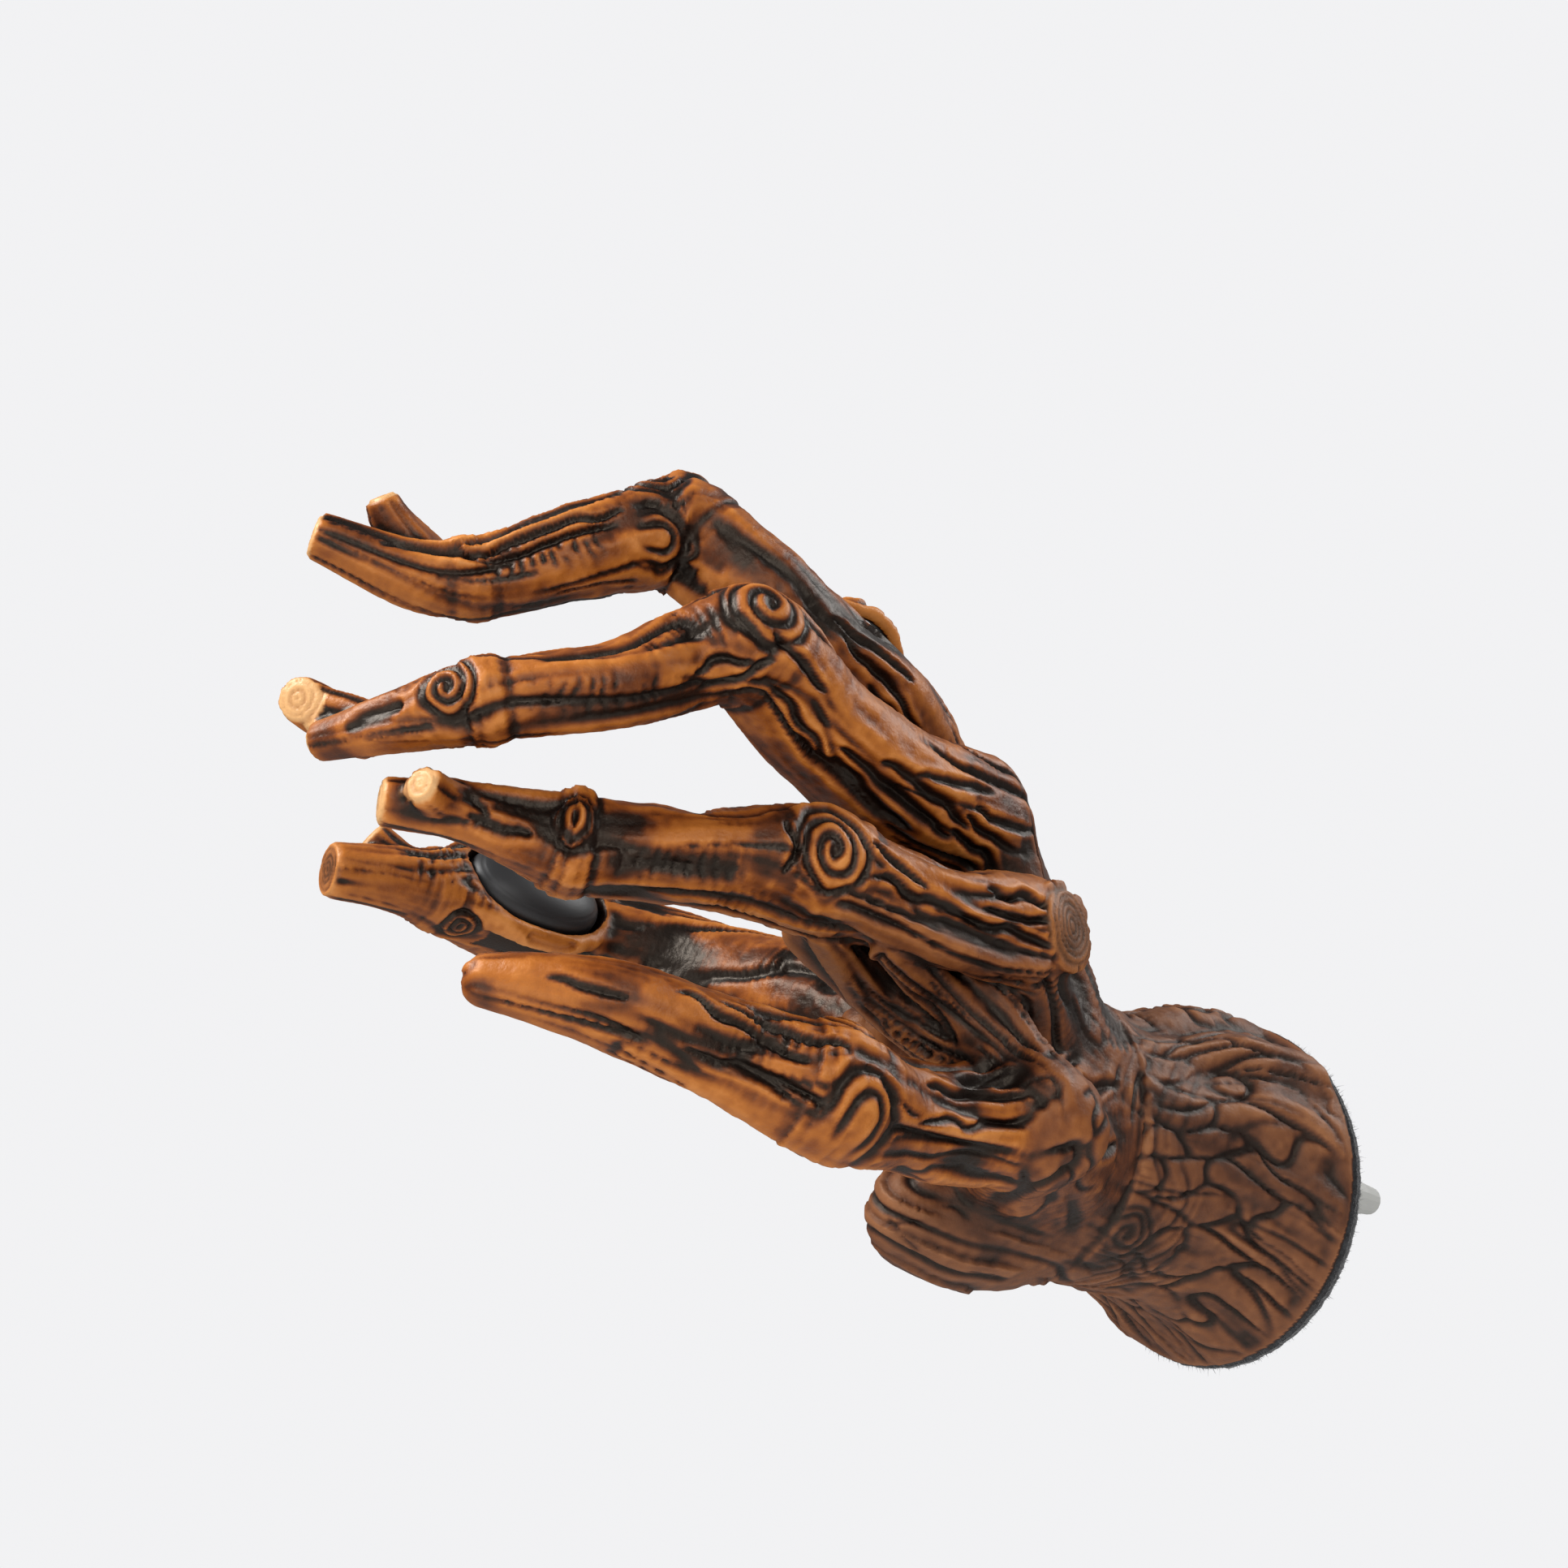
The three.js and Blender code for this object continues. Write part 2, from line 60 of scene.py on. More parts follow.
# ---------------- the hand, in mm
# Each limb is a list of stations (x, y, z, radius) along its middle. They follow the CAD's castings, but
# the ridges are only here, finger 3's root is slimmer and finger 2's twig is turned a little.
LIMBS = {
    "finger_1": [
        (5.5, -79, 59.5, 9.2), (13.5, -95, 64, 9), (16.5, -116, 70, 8.6), (14, -128, 77, 8.8),
        (9.5, -136, 83, 9), (5.5, -151, 76, 7.6), (-5, -170, 67.5, 5.6), (-12.5, -190, 71.5, 3.6),
    ],
    "finger_1_stub": [(9.5, -135, 85.5, 6.6), (7, -132, 95.5, 4.8)],
    "finger_1_twig": [(-10, -172, 73.5, 4.6), (-9.5, -178, 78, 3.4), (-8.5, -181, 81, 2.6)],
    "finger_2": [
        (19.2, -82.5, 43, 11.6), (23.8, -102, 41.5, 10), (27.5, -121, 44, 8.8), (32, -137, 49, 8.6),
        (28, -147, 45, 7.2), (26.5, -159, 37, 6.2), (17.5, -174, 33, 5.8), (8, -183, 30.5, 4.1),
        (-4, -189.5, 30, 2.6),
    ],
    "finger_2_twig": [
        (-0.5, -184, 33, 4.2), (-4.8, -187.5, 36, 3.9), (-6.2, -190.3, 37.6, 3.6),
        (-5.2, -192.3, 37.2, 3.4),
    ],
    "finger_3": [
        (30, -81, 20, 7.6), (30.5, -100, 17.8, 6.9), (27.5, -112, 18.8, 8.2), (25.5, -120, 20, 9.2),
        (20.5, -137, 18.5, 7), (12, -154, 18.5, 6.8), (8, -170, 20, 4.4), (3.5, -182, 20, 3.4),
    ],
    "finger_3_twig": [(6, -169, 21, 3.4), (11.5, -180, 20, 2.8)],
    "finger_4": [
        (24.5, -74, -9.5, 9.6), (23.5, -88, -12.5, 8.8), (24, -102, -14.5, 8.6), (26, -117, -15.5, 9.2),
        (22.5, -133, -12, 7), (18.5, -150, -8, 6), (13, -160, -6, 4.8), (9, -165, -5, 4),
    ],
    "thumb": [
        (-3, -61, 9, 12.5), (-19.5, -63, 20.5, 13), (-51.5, -75, 38.5, 11.5), (-69.5, -95, 48, 10.5),
        (-69, -115, 50, 10), (-65.5, -132, 47, 7), (-65, -143, 46, 5.8), (-66.5, -155, 45, 4.8),
    ],
    "thumb_twig": [(-66, -140, 49.5, 3.8), (-67.5, -147, 54.5, 3.4)],
    "wrist": [(0, -32, 1.5, 23), (0.5, -42, 1.5, 22), (6, -56, 4, 17)],
    "metacarpal_1": [(3, -46, 5, 18), (8, -59, 13, 15.5), (11, -71, 32, 12.5), (7.5, -79, 52, 10)],
    "metacarpal_2": [(11, -66, 20, 12.5), (15, -75, 34, 12), (17.2, -80, 43.2, 11.8)],
    "metacarpal_3": [(3, -48, 4, 17), (11, -63, 10.5, 13.5), (25, -79, 17.5, 9.5)],
    "stub": [(20, -79, 21, 8), (36, -75, 20, 6.4)],
    "sinew_1": [(19, -106, 19.5, 6.4), (18, -93, 16, 5.8), (19, -78, 11.5, 5.4), (13.5, -64, 9.5, 7.2)],
    "sinew_2": [
        (16.5, -111, 17.5, 5.6), (15, -100, 13.5, 5.4), (15.5, -90, 9, 5.2), (14, -78, 7.5, 5.4),
        (7.5, -64, 4.5, 6.6),
    ],
    "sinew_3": [(18.5, -82, 15, 3.4), (17, -68, 13.5, 4), (11.5, -58, 8.5, 5.6)],
    "ridge_1": [
        (30.7, -117, 13.2, 2.4), (31.8, -110, 12.1, 2.8), (32.1, -100.5, 10.9, 3), (31.7, -89, 11.4, 2.8),
        (32.6, -81.4, 12.2, 2.2),
    ],
    "ridge_2": [
        (27.6, -106.8, 10.1, 2.6), (23.8, -94.3, 8.6, 3.2), (24.2, -86.3, 3.8, 3.4),
        (27.6, -81.3, -3.4, 3.6), (31.4, -79.3, -10.3, 4),
    ],
    "ridge_3": [
        (21.9, -115.3, 11.9, 2.4), (15.8, -102.3, 9.4, 2.8), (16, -93.3, 4.9, 2.8), (19.5, -87.3, 0.2, 2.8),
        (26.6, -84.3, -5.9, 3),
    ],
    "ridge_4": [
        (25.4, -87.8, 11, 2), (27, -81.8, 6.5, 2.4), (28.7, -78.3, -0.4, 2.4), (32, -78.3, -7.4, 2.6),
    ],
    "web": [(-3.5, -84, 11.5, 5), (2, -78, 8, 6.2), (5, -66, 7, 8.4)],
    "metacarpal_4": [(3, -48, 0, 18), (9, -60, -4, 16), (20, -72, -9, 11.5), (27, -76, -11, 10)],
    "heel": [(1, -46, -4, 18), (-3, -56, -9, 16.4), (-3, -67, -14.5, 12.4), (-2.5, -75, -17, 8)],
}
TRUNK = [  # y, height of its middle, radius
    (2, 0, 31.4), (-3, 0.5, 30.8), (-7, 1.6, 29.8), (-12, 3.2, 28.2), (-20, 4.2, 26.4), (-28, 3.2, 24.2),
    (-36, 1.8, 23.2), (-46, 1.5, 22.4),
]
SAWN = (
    "finger_1", "finger_1_stub", "finger_1_twig", "finger_2", "finger_2_twig", "finger_3", "finger_3_twig",
    "thumb", "thumb_twig", "stub",
)
PALM_LIMBS = (
    "wrist", "metacarpal_1", "metacarpal_2", "metacarpal_3", "stub", "sinew_1", "sinew_2", "sinew_3",
    "ridge_1", "ridge_2", "ridge_3", "ridge_4", "web", "metacarpal_4", "heel",
)
FINGERS = ("finger_1", "finger_2", "finger_3", "finger_4")
PIECES = ("trunk", "palm", *FINGERS, "thumb")
WOODY_ENDS = ("finger_1_stub", "thumb", "stub")  # ends stained like the bark round them
TRUNK_TOP_Y = -38.0  # plane between the trunk and palm castings
BACK_Y = -2.3  # back face of the trunk casting
POCKET_R = 26.0
SEAT_Y = -6.6  # floor of the pocket, where the hang plate sits
HOOK_CAVITY = ((-6.0, 6.0), (-10.6, -6.0), (-11.0, 15.0))


class Limb:
    """A limb's middle line as short segments, with its radius and a steady frame round it."""

    def __init__(self, name, step=1.5):
        self.name = name
        stations = np.array(LIMBS[name], float)
        fine = self.through(stations)
        lengths = np.linalg.norm(np.diff(fine[:, :3], axis=0), axis=1)
        arc = np.concatenate([[0.0], np.cumsum(lengths)])
        count = max(3, int(arc[-1] / step))
        marks = np.linspace(0.0, arc[-1], count + 1)
        self.points = np.stack([np.interp(marks, arc, fine[:, i]) for i in range(3)], axis=1)
        self.radii = np.interp(marks, arc, fine[:, 3])
        self.arc = marks
        self.length = arc[-1]
        tangent = np.gradient(self.points, axis=0)
        self.tangent = tangent / np.linalg.norm(tangent, axis=1)[:, None]
        side = np.array([1.0, 0.0, 0.0]) - self.tangent[:, :1] * self.tangent
        self.side = side / np.linalg.norm(side, axis=1)[:, None]
        self.up = np.cross(self.tangent, self.side)

    @staticmethod
    def through(stations, per_span=14):
        """Points of a Catmull-Rom curve through the stations, radius included."""
        first = 2 * stations[0] - stations[1]
        last = 2 * stations[-1] - stations[-2]
        p = np.vstack([first, stations, last])
        out = []
        for i in range(1, len(p) - 2):
            for t in np.linspace(0, 1, per_span, endpoint=False):
                a = 2 * p[i]
                b = p[i + 1] - p[i - 1]
                c = 2 * p[i - 1] - 5 * p[i] + 4 * p[i + 1] - p[i + 2]
                d = -p[i - 1] + 3 * p[i] - 3 * p[i + 1] + p[i + 2]
                out.append(0.5 * (a + b * t + c * t**2 + d * t**3))
        out.append(p[-2])
        return np.array(out)

    def coordinates(self, points):
        """For each point: distance outside the surface, place along, two places across over the radius."""
        best = np.full(len(points), 1e9)
        along = np.zeros(len(points))
        across = np.zeros((len(points), 2))
        for i in range(len(self.points) - 1):
            a, b = self.points[i], self.points[i + 1]
            reach = max(self.radii[i], self.radii[i + 1]) + 9.0
            index = np.nonzero(np.all(np.abs(points - (a + b) / 2) < reach, axis=1))[0]
            if not len(index):
                continue
            p = points[index]
            before = (p - a) @ self.tangent[i]
            after = (b - p) @ self.tangent[i + 1]
            t = np.clip(before / np.maximum(before + after, 1e-6), 0, 1)
            t = np.where(before + after > 1e-6, t, np.where(before > 0, 1.0, 0.0))[:, None]
            rest = p - a - t * (b - a)
            radius = self.radii[i] + (self.radii[i + 1] - self.radii[i]) * t[:, 0]
            gap = np.linalg.norm(rest, axis=1) - radius
            side = self.side[i] + (self.side[i + 1] - self.side[i]) * t
            up = self.up[i] + (self.up[i + 1] - self.up[i]) * t
            closer = gap < best[index]
            chosen = index[closer]
            best[chosen] = gap[closer]
            along[chosen] = self.arc[i] + t[closer, 0] * (self.arc[i + 1] - self.arc[i])
            x = np.sum(rest * side, axis=1) / radius
            y = np.sum(rest * up, axis=1) / radius
            across[chosen] = np.stack([x, y], axis=1)[closer]
        return best, along, across

    def surface_place(self, at, degrees):
        """A point on the surface with its lengthwise, sideways and outward directions."""
        i = int(round(at * (len(self.points) - 1)))
        turn = math.radians(degrees)
        out = self.side[i] * math.cos(turn) + self.up[i] * math.sin(turn)
        sideways = self.up[i] * math.cos(turn) - self.side[i] * math.sin(turn)
        return self.points[i] + out * self.radii[i], self.tangent[i], sideways, out


class Trunk:
    """The flared trunk: a round body along Y whose middle rises and falls."""

    name = "trunk"

    def __init__(self):
        self.length = -TRUNK[-1][0]
        fine = Limb.through(np.array(TRUNK, float)[:, :3])
        self.y, self.middle, self.wide = fine[::-1].T

    def gap(self, x, y, z):
        middle = np.interp(y, self.y, self.middle)
        wide = np.interp(y, self.y, self.wide)
        side = (np.sqrt(x**2 + (z - middle) ** 2) - wide) * 0.93
        return np.maximum(side, TRUNK[-1][0] - y), wide, middle

    def coordinates(self, points):
        x, y, z = points.T
        gap, wide, middle = self.gap(x, y, z)
        return gap, -y, np.stack([x, z - middle], axis=1) / wide[:, None]

    def surface_place(self, at, degrees):
        y = -at * self.length
        turn = math.radians(degrees)
        wide = np.interp(y, self.y, self.wide)
        out = np.array([math.cos(turn), 0, math.sin(turn)])
        place = out * wide + (0, y, np.interp(y, self.y, self.middle))
        return place, np.array([0.0, -1, 0]), np.array([-math.sin(turn), 0, math.cos(turn)]), out


# ---------------- noise and smooth steps
def smooth(x, low, high):
    t = np.clip((x - low) / (high - low), 0, 1)
    return t * t * (3 - 2 * t)


def hashed(ix, iy, iz, seed):
    n = (ix * 374761393 + iy * 668265263 + iz * 1442695041 + seed * 1274126177) & 0xFFFFFFFF
    n = ((n ^ (n >> 13)) * 1274126177) & 0xFFFFFFFF
    n = n ^ (n >> 16)
    return (n & 0xFFFF) / 32767.5 - 1


def noise(x, y, z, seed=0):
    """Smooth noise between -1 and 1, the same for the same place and seed."""
    cell = [np.floor(a).astype(np.int64) for a in (x, y, z)]
    part = [a - c for a, c in zip((x, y, z), cell)]
    fade = [f * f * f * (f * (f * 6 - 15) + 10) for f in part]
    total = 0
    for corner in range(8):
        pick = [(corner >> k) & 1 for k in range(3)]
        weight = 1
        for k in range(3):
            weight = weight * (fade[k] if pick[k] else 1 - fade[k])
        total = total + weight * hashed(*(cell[k] + pick[k] for k in range(3)), seed)
    return total


def hump(value, width):
    """1 where a value is zero, falling to 0 within width: a groove where noise crosses zero."""
    return np.exp(-((value / width) ** 2))


def rounded(value):
    """How far a value is from the nearest whole number."""
    return value - np.round(value)


def turned(du, dv, degrees):
    """Two distances as seen from a frame turned by some degrees."""
    turn = math.radians(degrees)
    return du * math.cos(turn) + dv * math.sin(turn), dv * math.cos(turn) - du * math.sin(turn)


# ---------------- the field that is carved
class Field:
    """Distance to the solid on a grid of cells, in mm."""

    def __init__(self, low, high, cell):
        self.cell = cell
        self.low = np.array(low, float)
        count = np.ceil((np.array(high) - self.low) / cell).astype(int)
        self.axes = [self.low[k] + cell * np.arange(count[k]) for k in range(3)]
        self.shape = tuple(count)

    def empty(self):
        return np.full(self.shape, BAND, np.float32)

    def part(self, low, high):
        """The slices between two corners, and the x, y and z of their cells."""
        spans = []
        for k in range(3):
            a = max(0, int((low[k] - self.low[k]) / self.cell))
            b = min(self.shape[k], int((high[k] - self.low[k]) / self.cell) + 2)
            spans.append(slice(a, b))
        x = self.axes[0][spans[0]][:, None, None]
        y = self.axes[1][spans[1]][None, :, None]
        z = self.axes[2][spans[2]][None, None, :]
        return tuple(spans), x, y, z

    def add_limb(self, values, limb):
        for i in range(len(limb.points) - 1):
            a = limb.points[i]
            b = limb.points[i + 1]
            reach = max(limb.radii[i], limb.radii[i + 1]) + BAND
            spans, x, y, z = self.part(np.minimum(a, b) - reach, np.maximum(a, b) + reach)
            d = b - a
            ox, oy, oz = x - a[0], y - a[1], z - a[2]
            t = np.clip((ox * d[0] + oy * d[1] + oz * d[2]) / (d @ d), 0, 1)
            gap = np.sqrt((ox - t * d[0]) ** 2 + (oy - t * d[1]) ** 2 + (oz - t * d[2]) ** 2)
            gap = gap - (limb.radii[i] + (limb.radii[i + 1] - limb.radii[i]) * t)
            values[spans] = np.minimum(values[spans], gap)

    def saw(self, values, limb):
        """Cuts the limb flat across its end."""
        end = limb.points[-1]
        n = limb.tangent[-1]
        reach = limb.radii[-1] + 2 * BAND
        spans, x, y, z = self.part(end - reach, end + reach)
        plane = (x - end[0]) * n[0] + (y - end[1]) * n[1] + (z - end[2]) * n[2]
        values[spans] = -join(-values[spans], -plane.astype(np.float32), 0.8)


def unit(vector):
    return vector / np.linalg.norm(vector)


def join(a, b, k):
    """Smooth union of two distance fields; k is the width of the fillet in mm."""
    h = np.clip(0.5 + 0.5 * (b - a) / k, 0, 1)
    return b + (a - b) * h - k * h * (1 - h)


@dataclass
class Pad:
    """An oval rubber pad: a dome on a straight foot, facing n, long along Y."""

    name: str
    node: str
    at: tuple
    n: tuple
    half_long: float
    half_high: float
    rise: float
    foot: float

    def __post_init__(self):
        self.at = np.array(self.at, float)
        self.n = unit(np.array(self.n, float))
        self.along = unit(np.array([0.0, 1.0, 0.0]) - self.n[1] * self.n)
        self.across = np.cross(self.n, self.along)

    def local(self, x, y, z):
        ox, oy, oz = x - self.at[0], y - self.at[1], z - self.at[2]
        a = ox * self.along[0] + oy * self.along[1] + oz * self.along[2]
        b = ox * self.across[0] + oy * self.across[1] + oz * self.across[2]
        h = ox * self.n[0] + oy * self.n[1] + oz * self.n[2]
        rim = (np.sqrt((a / self.half_long) ** 2 + (b / self.half_high) ** 2) - 1) * self.half_high
        return rim, h


PADS = (
    Pad("thumb_pad_rubber", "thumb_pad", (-62.5, -115, 51), (0.92, 0, 0.39), 14, 9.5, 6, 3),
    Pad("finger_pad_rubber", "finger_pad", (11, -101, 72.5), (-0.75, 0, 0.66), 8.5, 7, 5, 2),
)


def carve_back(field, values):
    """The flat back, the pocket for the hang plate and the room for the hook."""
    reach = 45
    spans, x, y, z = field.part((-reach, -14, -reach), (reach, 12, reach))
    part = np.maximum(values[spans], y - BACK_Y)
    pocket = np.maximum(np.sqrt(x**2 + z**2) - POCKET_R, SEAT_Y - y)
    part = np.maximum(part, -pocket)
    room = None
    for a, (low, high) in zip((x, y, z), HOOK_CAVITY):
        wall = np.maximum(low - a, a - high)
        room = wall if room is None else np.maximum(room, wall)
    values[spans] = np.maximum(part, -room)


def carve_socket(field, values, pad):
    """A cup for a pad, with a rim raised round it."""
    reach, room, fillet = pad.half_long + 8, 0.7, 3.0
    spans, x, y, z = field.part(pad.at - reach, pad.at + reach)
    rim, h = pad.local(x, y, z)
    collar = np.sqrt(np.maximum(rim - 1.4, 0) ** 2 + (h + 0.6) ** 2) - 1.5
    collar = np.where(rim < -2, BAND, collar)
    part = join(values[spans], collar.astype(np.float32), fillet)
    cup = np.maximum(rim - room, -(h + pad.foot + 0.4))
    values[spans] = np.maximum(part, -cup)


def whole_digit(field, limbs, digit):
    """A digit with its twigs and stubs, sawn where it is sawn."""
    whole = None
    for name in LIMBS:
        if name != digit and not name.startswith(digit + "_"):
            continue
        one = field.empty()
        field.add_limb(one, limbs[name])
        if name in SAWN:
            field.saw(one, limbs[name])
        whole = one if whole is None else join(whole, one, TWIG_FILLET)
    return whole


def build_field(limbs):
    field = Field(*FIELD_BOX, VOXEL)
    palm = field.empty()
    field.add_limb(palm, limbs["wrist"])
    for name in PALM_LIMBS[1:]:
        palm = join(palm, whole_digit(field, limbs, name), PALM_FILLET)
    for digit in FINGERS:
        palm = join(palm, whole_digit(field, limbs, digit), FINGER_FILLET)
    palm = join(palm, whole_digit(field, limbs, "thumb"), THUMB_FILLET)
    one = field.empty()
    spans, x, y, z = field.part((-40, TRUNK[-1][0], -40), (40, 4, 44))
    one[spans] = np.clip(limbs["trunk"].gap(x, y, z)[0], -2 * BAND, BAND)
    solid = join(palm, one, TRUNK_FILLET)
    for pad in PADS:
        carve_socket(field, solid, pad)
    carve_back(field, solid)
    return field, solid


def skin_of(field, solid):
    """Vertices and quads of the field's surface."""
    grid = openvdb.FloatGrid(BAND)
    grid.copyFromArray(np.clip(solid, -BAND, BAND))
    points, quads = grid.convertToQuads(isovalue=0.0)
    points = np.asarray(points, float) * field.cell + field.low
    quads = np.asarray(quads, np.int64)
    a, b, c, d = (points[quads[:, k]] for k in range(4))
    volume = np.sum(a * np.cross(b, c)) + np.sum(a * np.cross(c, d))
    if volume < 0:
        quads = quads[:, ::-1]
    return points, quads


class Skin:
    """A quad mesh with the sums over neighbours that smoothing and shading need."""

    def __init__(self, points, quads):
        self.points = points
        self.quads = quads
        edges = np.concatenate([quads[:, [k, (k + 1) % 4]] for k in range(4)])
        self.edges = np.unique(np.sort(edges, axis=1), axis=0)
        self.degree = np.bincount(self.edges.ravel(), minlength=len(points)).astype(float)

    def around(self, values):
        """The mean of each vertex's neighbours."""
        a, b = self.edges[:, 0], self.edges[:, 1]
        size = len(self.points)
        total = np.bincount(a, values[b], size) + np.bincount(b, values[a], size)
        return total / np.maximum(self.degree, 1)

    def smoothed(self, values, rounds, share=0.6):
        for _ in range(rounds):
            if values.ndim == 1:
                near = self.around(values)
            else:
                near = np.stack([self.around(values[:, k]) for k in range(3)], axis=1)
            values = values + share * (near - values)
        return values

    def normals(self):
        p = self.points
        a, b, c, d = (p[self.quads[:, corner]] for corner in range(4))
        across = np.cross(c - a, d - b)
        total = np.zeros_like(p)
        for corner in range(4):
            for k in range(3):
                total[:, k] += np.bincount(self.quads[:, corner], across[:, k], len(p))
        return total / np.maximum(np.linalg.norm(total, axis=1), 1e-12)[:, None]


# ---------------- relief of the bark
@dataclass
class Knot:
    """A knot or whorl on a limb: at is the share of its length, turn is degrees round it.

    legs, in degrees from the limb's direction, draws it out into nested U lines open that way.
    """

    limb: str
    at: float
    turn: float
    size: float
    rings: float = 2.5
    swirl: float = 1.0
    bulge: float = 0.9
    eye: float = 0.8
    stretch: float = 1.0
    legs: float | None = None


KNOTS = (
    Knot("finger_1", 0.578, -24, 4.4, 2.2, swirl=0, bulge=0.8, eye=0, legs=10),
    Knot("finger_1", 0.545, 60, 5.0, 2.6, bulge=0.8),
    Knot("finger_1", 0.80, 110, 3.2, 2),
    Knot("finger_2", 0.458, 14, 5.0, 2.2, bulge=1.7, stretch=1.15),
    Knot("finger_2", 0.823, 11, 3.7, 2.2, bulge=1.1),
    Knot("finger_3", 0.38, -8, 5.6, 2.3, bulge=1.2, stretch=0.95),
    Knot("finger_3", 0.745, 0, 3.4, 1.3, swirl=0, bulge=0.9, eye=1.0, stretch=0.75),
    Knot("finger_4", 0.455, -36, 5.6, 2.1, swirl=0, bulge=1.2, eye=0, legs=-75),
    Knot("finger_4", 0.45, 75, 4.5, 2),
    Knot("finger_4", 0.70, 150, 3.6, 2),
    Knot("thumb", 0.40, 150, 6.0, 2.8, bulge=1.2),
    Knot("thumb", 0.62, 200, 5.2, 2.5, bulge=1.0),
    Knot("thumb", 0.84, -70, 3.4, 2, swirl=0),
    Knot("metacarpal_1", 0.85, 60, 6.0, 2.4, bulge=1.0),
    Knot("metacarpal_2", 0.90, 150, 6.0, 2.4, bulge=1.0),
    Knot("heel", 0.80, -95, 4.8, 2.4, bulge=0.5),
    Knot("trunk", 0.93, -56, 4.4, 2.2, bulge=0.6),
    Knot("trunk", 0.40, 70, 5.0, 2.4, bulge=0.6),
    Knot("trunk", 0.45, 200, 5.4, 2.4, bulge=0.6),
    Knot("trunk", 0.70, 130, 4.6, 2.2, bulge=0.5),
)
# ring swellings: limb, share of its length, half-width and height in mm
COLLARS = (
    ("finger_1", 0.51, 4, 0.7), ("finger_1", 0.8, 3, 0.4), ("finger_2", 0.785, 2.6, 1.1),
    ("finger_2", 0.46, 4.5, 0.5), ("finger_3", 0.725, 2.4, 1.3), ("finger_3", 0.38, 5, 0.5),
    ("finger_4", 0.47, 4.2, 0.9), ("thumb", 0.86, 3, 0.6), ("stub", 0.93, 2.2, 0.7),
)
# deep cuts on each limb: share of its length, degrees round it, half-length and half-width in mm, and lean in
# degrees
CUTS_ON = {
    "finger_1": (
        (0.2, -30, 12, 0.7, 8), (0.24, -5, 10, 0.6, 0), (0.14, -50, 11, 0.9, 4), (0.7, 22, 13, 0.6, 1),
        (0.71, 6, 12, 0.5, 1), (0.86, 15, 8, 0.9, 3),
    ),
    "finger_2": (
        (0.02, -22, 9, 0.7, -4), (0.03, -38, 9, 0.7, 6), (0.035, -56, 10, 0.8, 12), (0.13, -8, 10, 0.7, -12),
        (0.17, -30, 12, 0.9, 4), (0.2, -47, 15, 1, 2), (0.26, -66, 15, 1.2, -2), (0.36, -58, 9, 0.7, 0),
        (0.42, -25, 7, 0.6, 5), (0.5, -41, 6, 0.6, -4), (0.512, -24, 5, 0.55, 4), (0.905, 0, 5, 1.6, 0),
    ),
    "finger_3": (
        (0.05, 12, 9, 0.6, 3), (0.06, -12, 9, 0.6, -2), (0.08, -34, 10, 0.8, 3), (0.16, -50, 12, 1, 8),
        (0.22, -26, 11, 0.9, 10), (0.27, 4, 6, 0.6, 14), (0.437, 6, 2.6, 0.5, 70), (0.44, -18, 2.6, 0.5, -60),
        (0.84, -36, 5, 0.9, 4), (0.885, -8, 3.6, 0.9, 25),
    ),
    "sinew_1": ((0.3, 52, 13, 2.2, 6), (0.62, 55, 10, 1.9, -4), (0.42, 20, 12, 0.9, 8)),
    "sinew_2": ((0.18, 80, 12, 2.6, 4), (0.5, 66, 12, 1.2, -6), (0.4, 100, 14, 1, 4)),
    "sinew_3": ((0.4, -60, 9, 1, 0),),
    "metacarpal_3": ((0.62, -70, 8, 1.2, 10), (0.8, -84, 7, 1.8, 0), (0.55, -50, 9, 0.8, -8)),
    "metacarpal_4": ((0.6, 15, 8, 0.9, 10), (0.72, -30, 7, 0.9, -12)),
    "finger_4": (
        (0.09, 66, 9, 1.6, -4), (0.12, 34, 9, 1.3, 4), (0.2, 12, 12, 0.7, 3), (0.24, -20, 12, 0.6, -4),
        (0.58, 18, 10, 0.6, 6), (0.62, -46, 9, 0.6, 5), (0.64, 2, 11, 0.7, 9), (0.86, -12, 6, 0.5, 0),
    ),
}
CUTS = [(limb, *cut) for limb, cuts in CUTS_ON.items() for cut in cuts]
# bands of short cross cracks: limb, from, to, degrees round it, half-width in mm, darkness
CRACKS = (
    ("finger_1", 0.63, 0.8, -14, 1.6, 0.15), ("finger_2", 0.555, 0.635, 25, 1.8, 0.2),
    ("finger_2", 0.6, 0.755, -30, 2.6, 0.75), ("finger_3", 0.49, 0.69, -38, 2.3, 0.8),
    ("thumb", 0.84, 0.92, 10, 3, 0.2), ("thumb", 0.3, 0.4, -120, 4, 0.3),
)


def local(limb, at, degrees, points, reach):
    """Lengthwise and sideways distances from a place on a limb's surface, and 1 fading to 0 beyond reach."""
    place, lengthwise, sideways, out = limb.surface_place(at, degrees)
    offset = points - place
    deep = np.abs(offset @ out)
    du, dv = offset @ lengthwise, offset @ sideways
    return du, dv, 1 - smooth(deep, 0.8 * reach, reach)


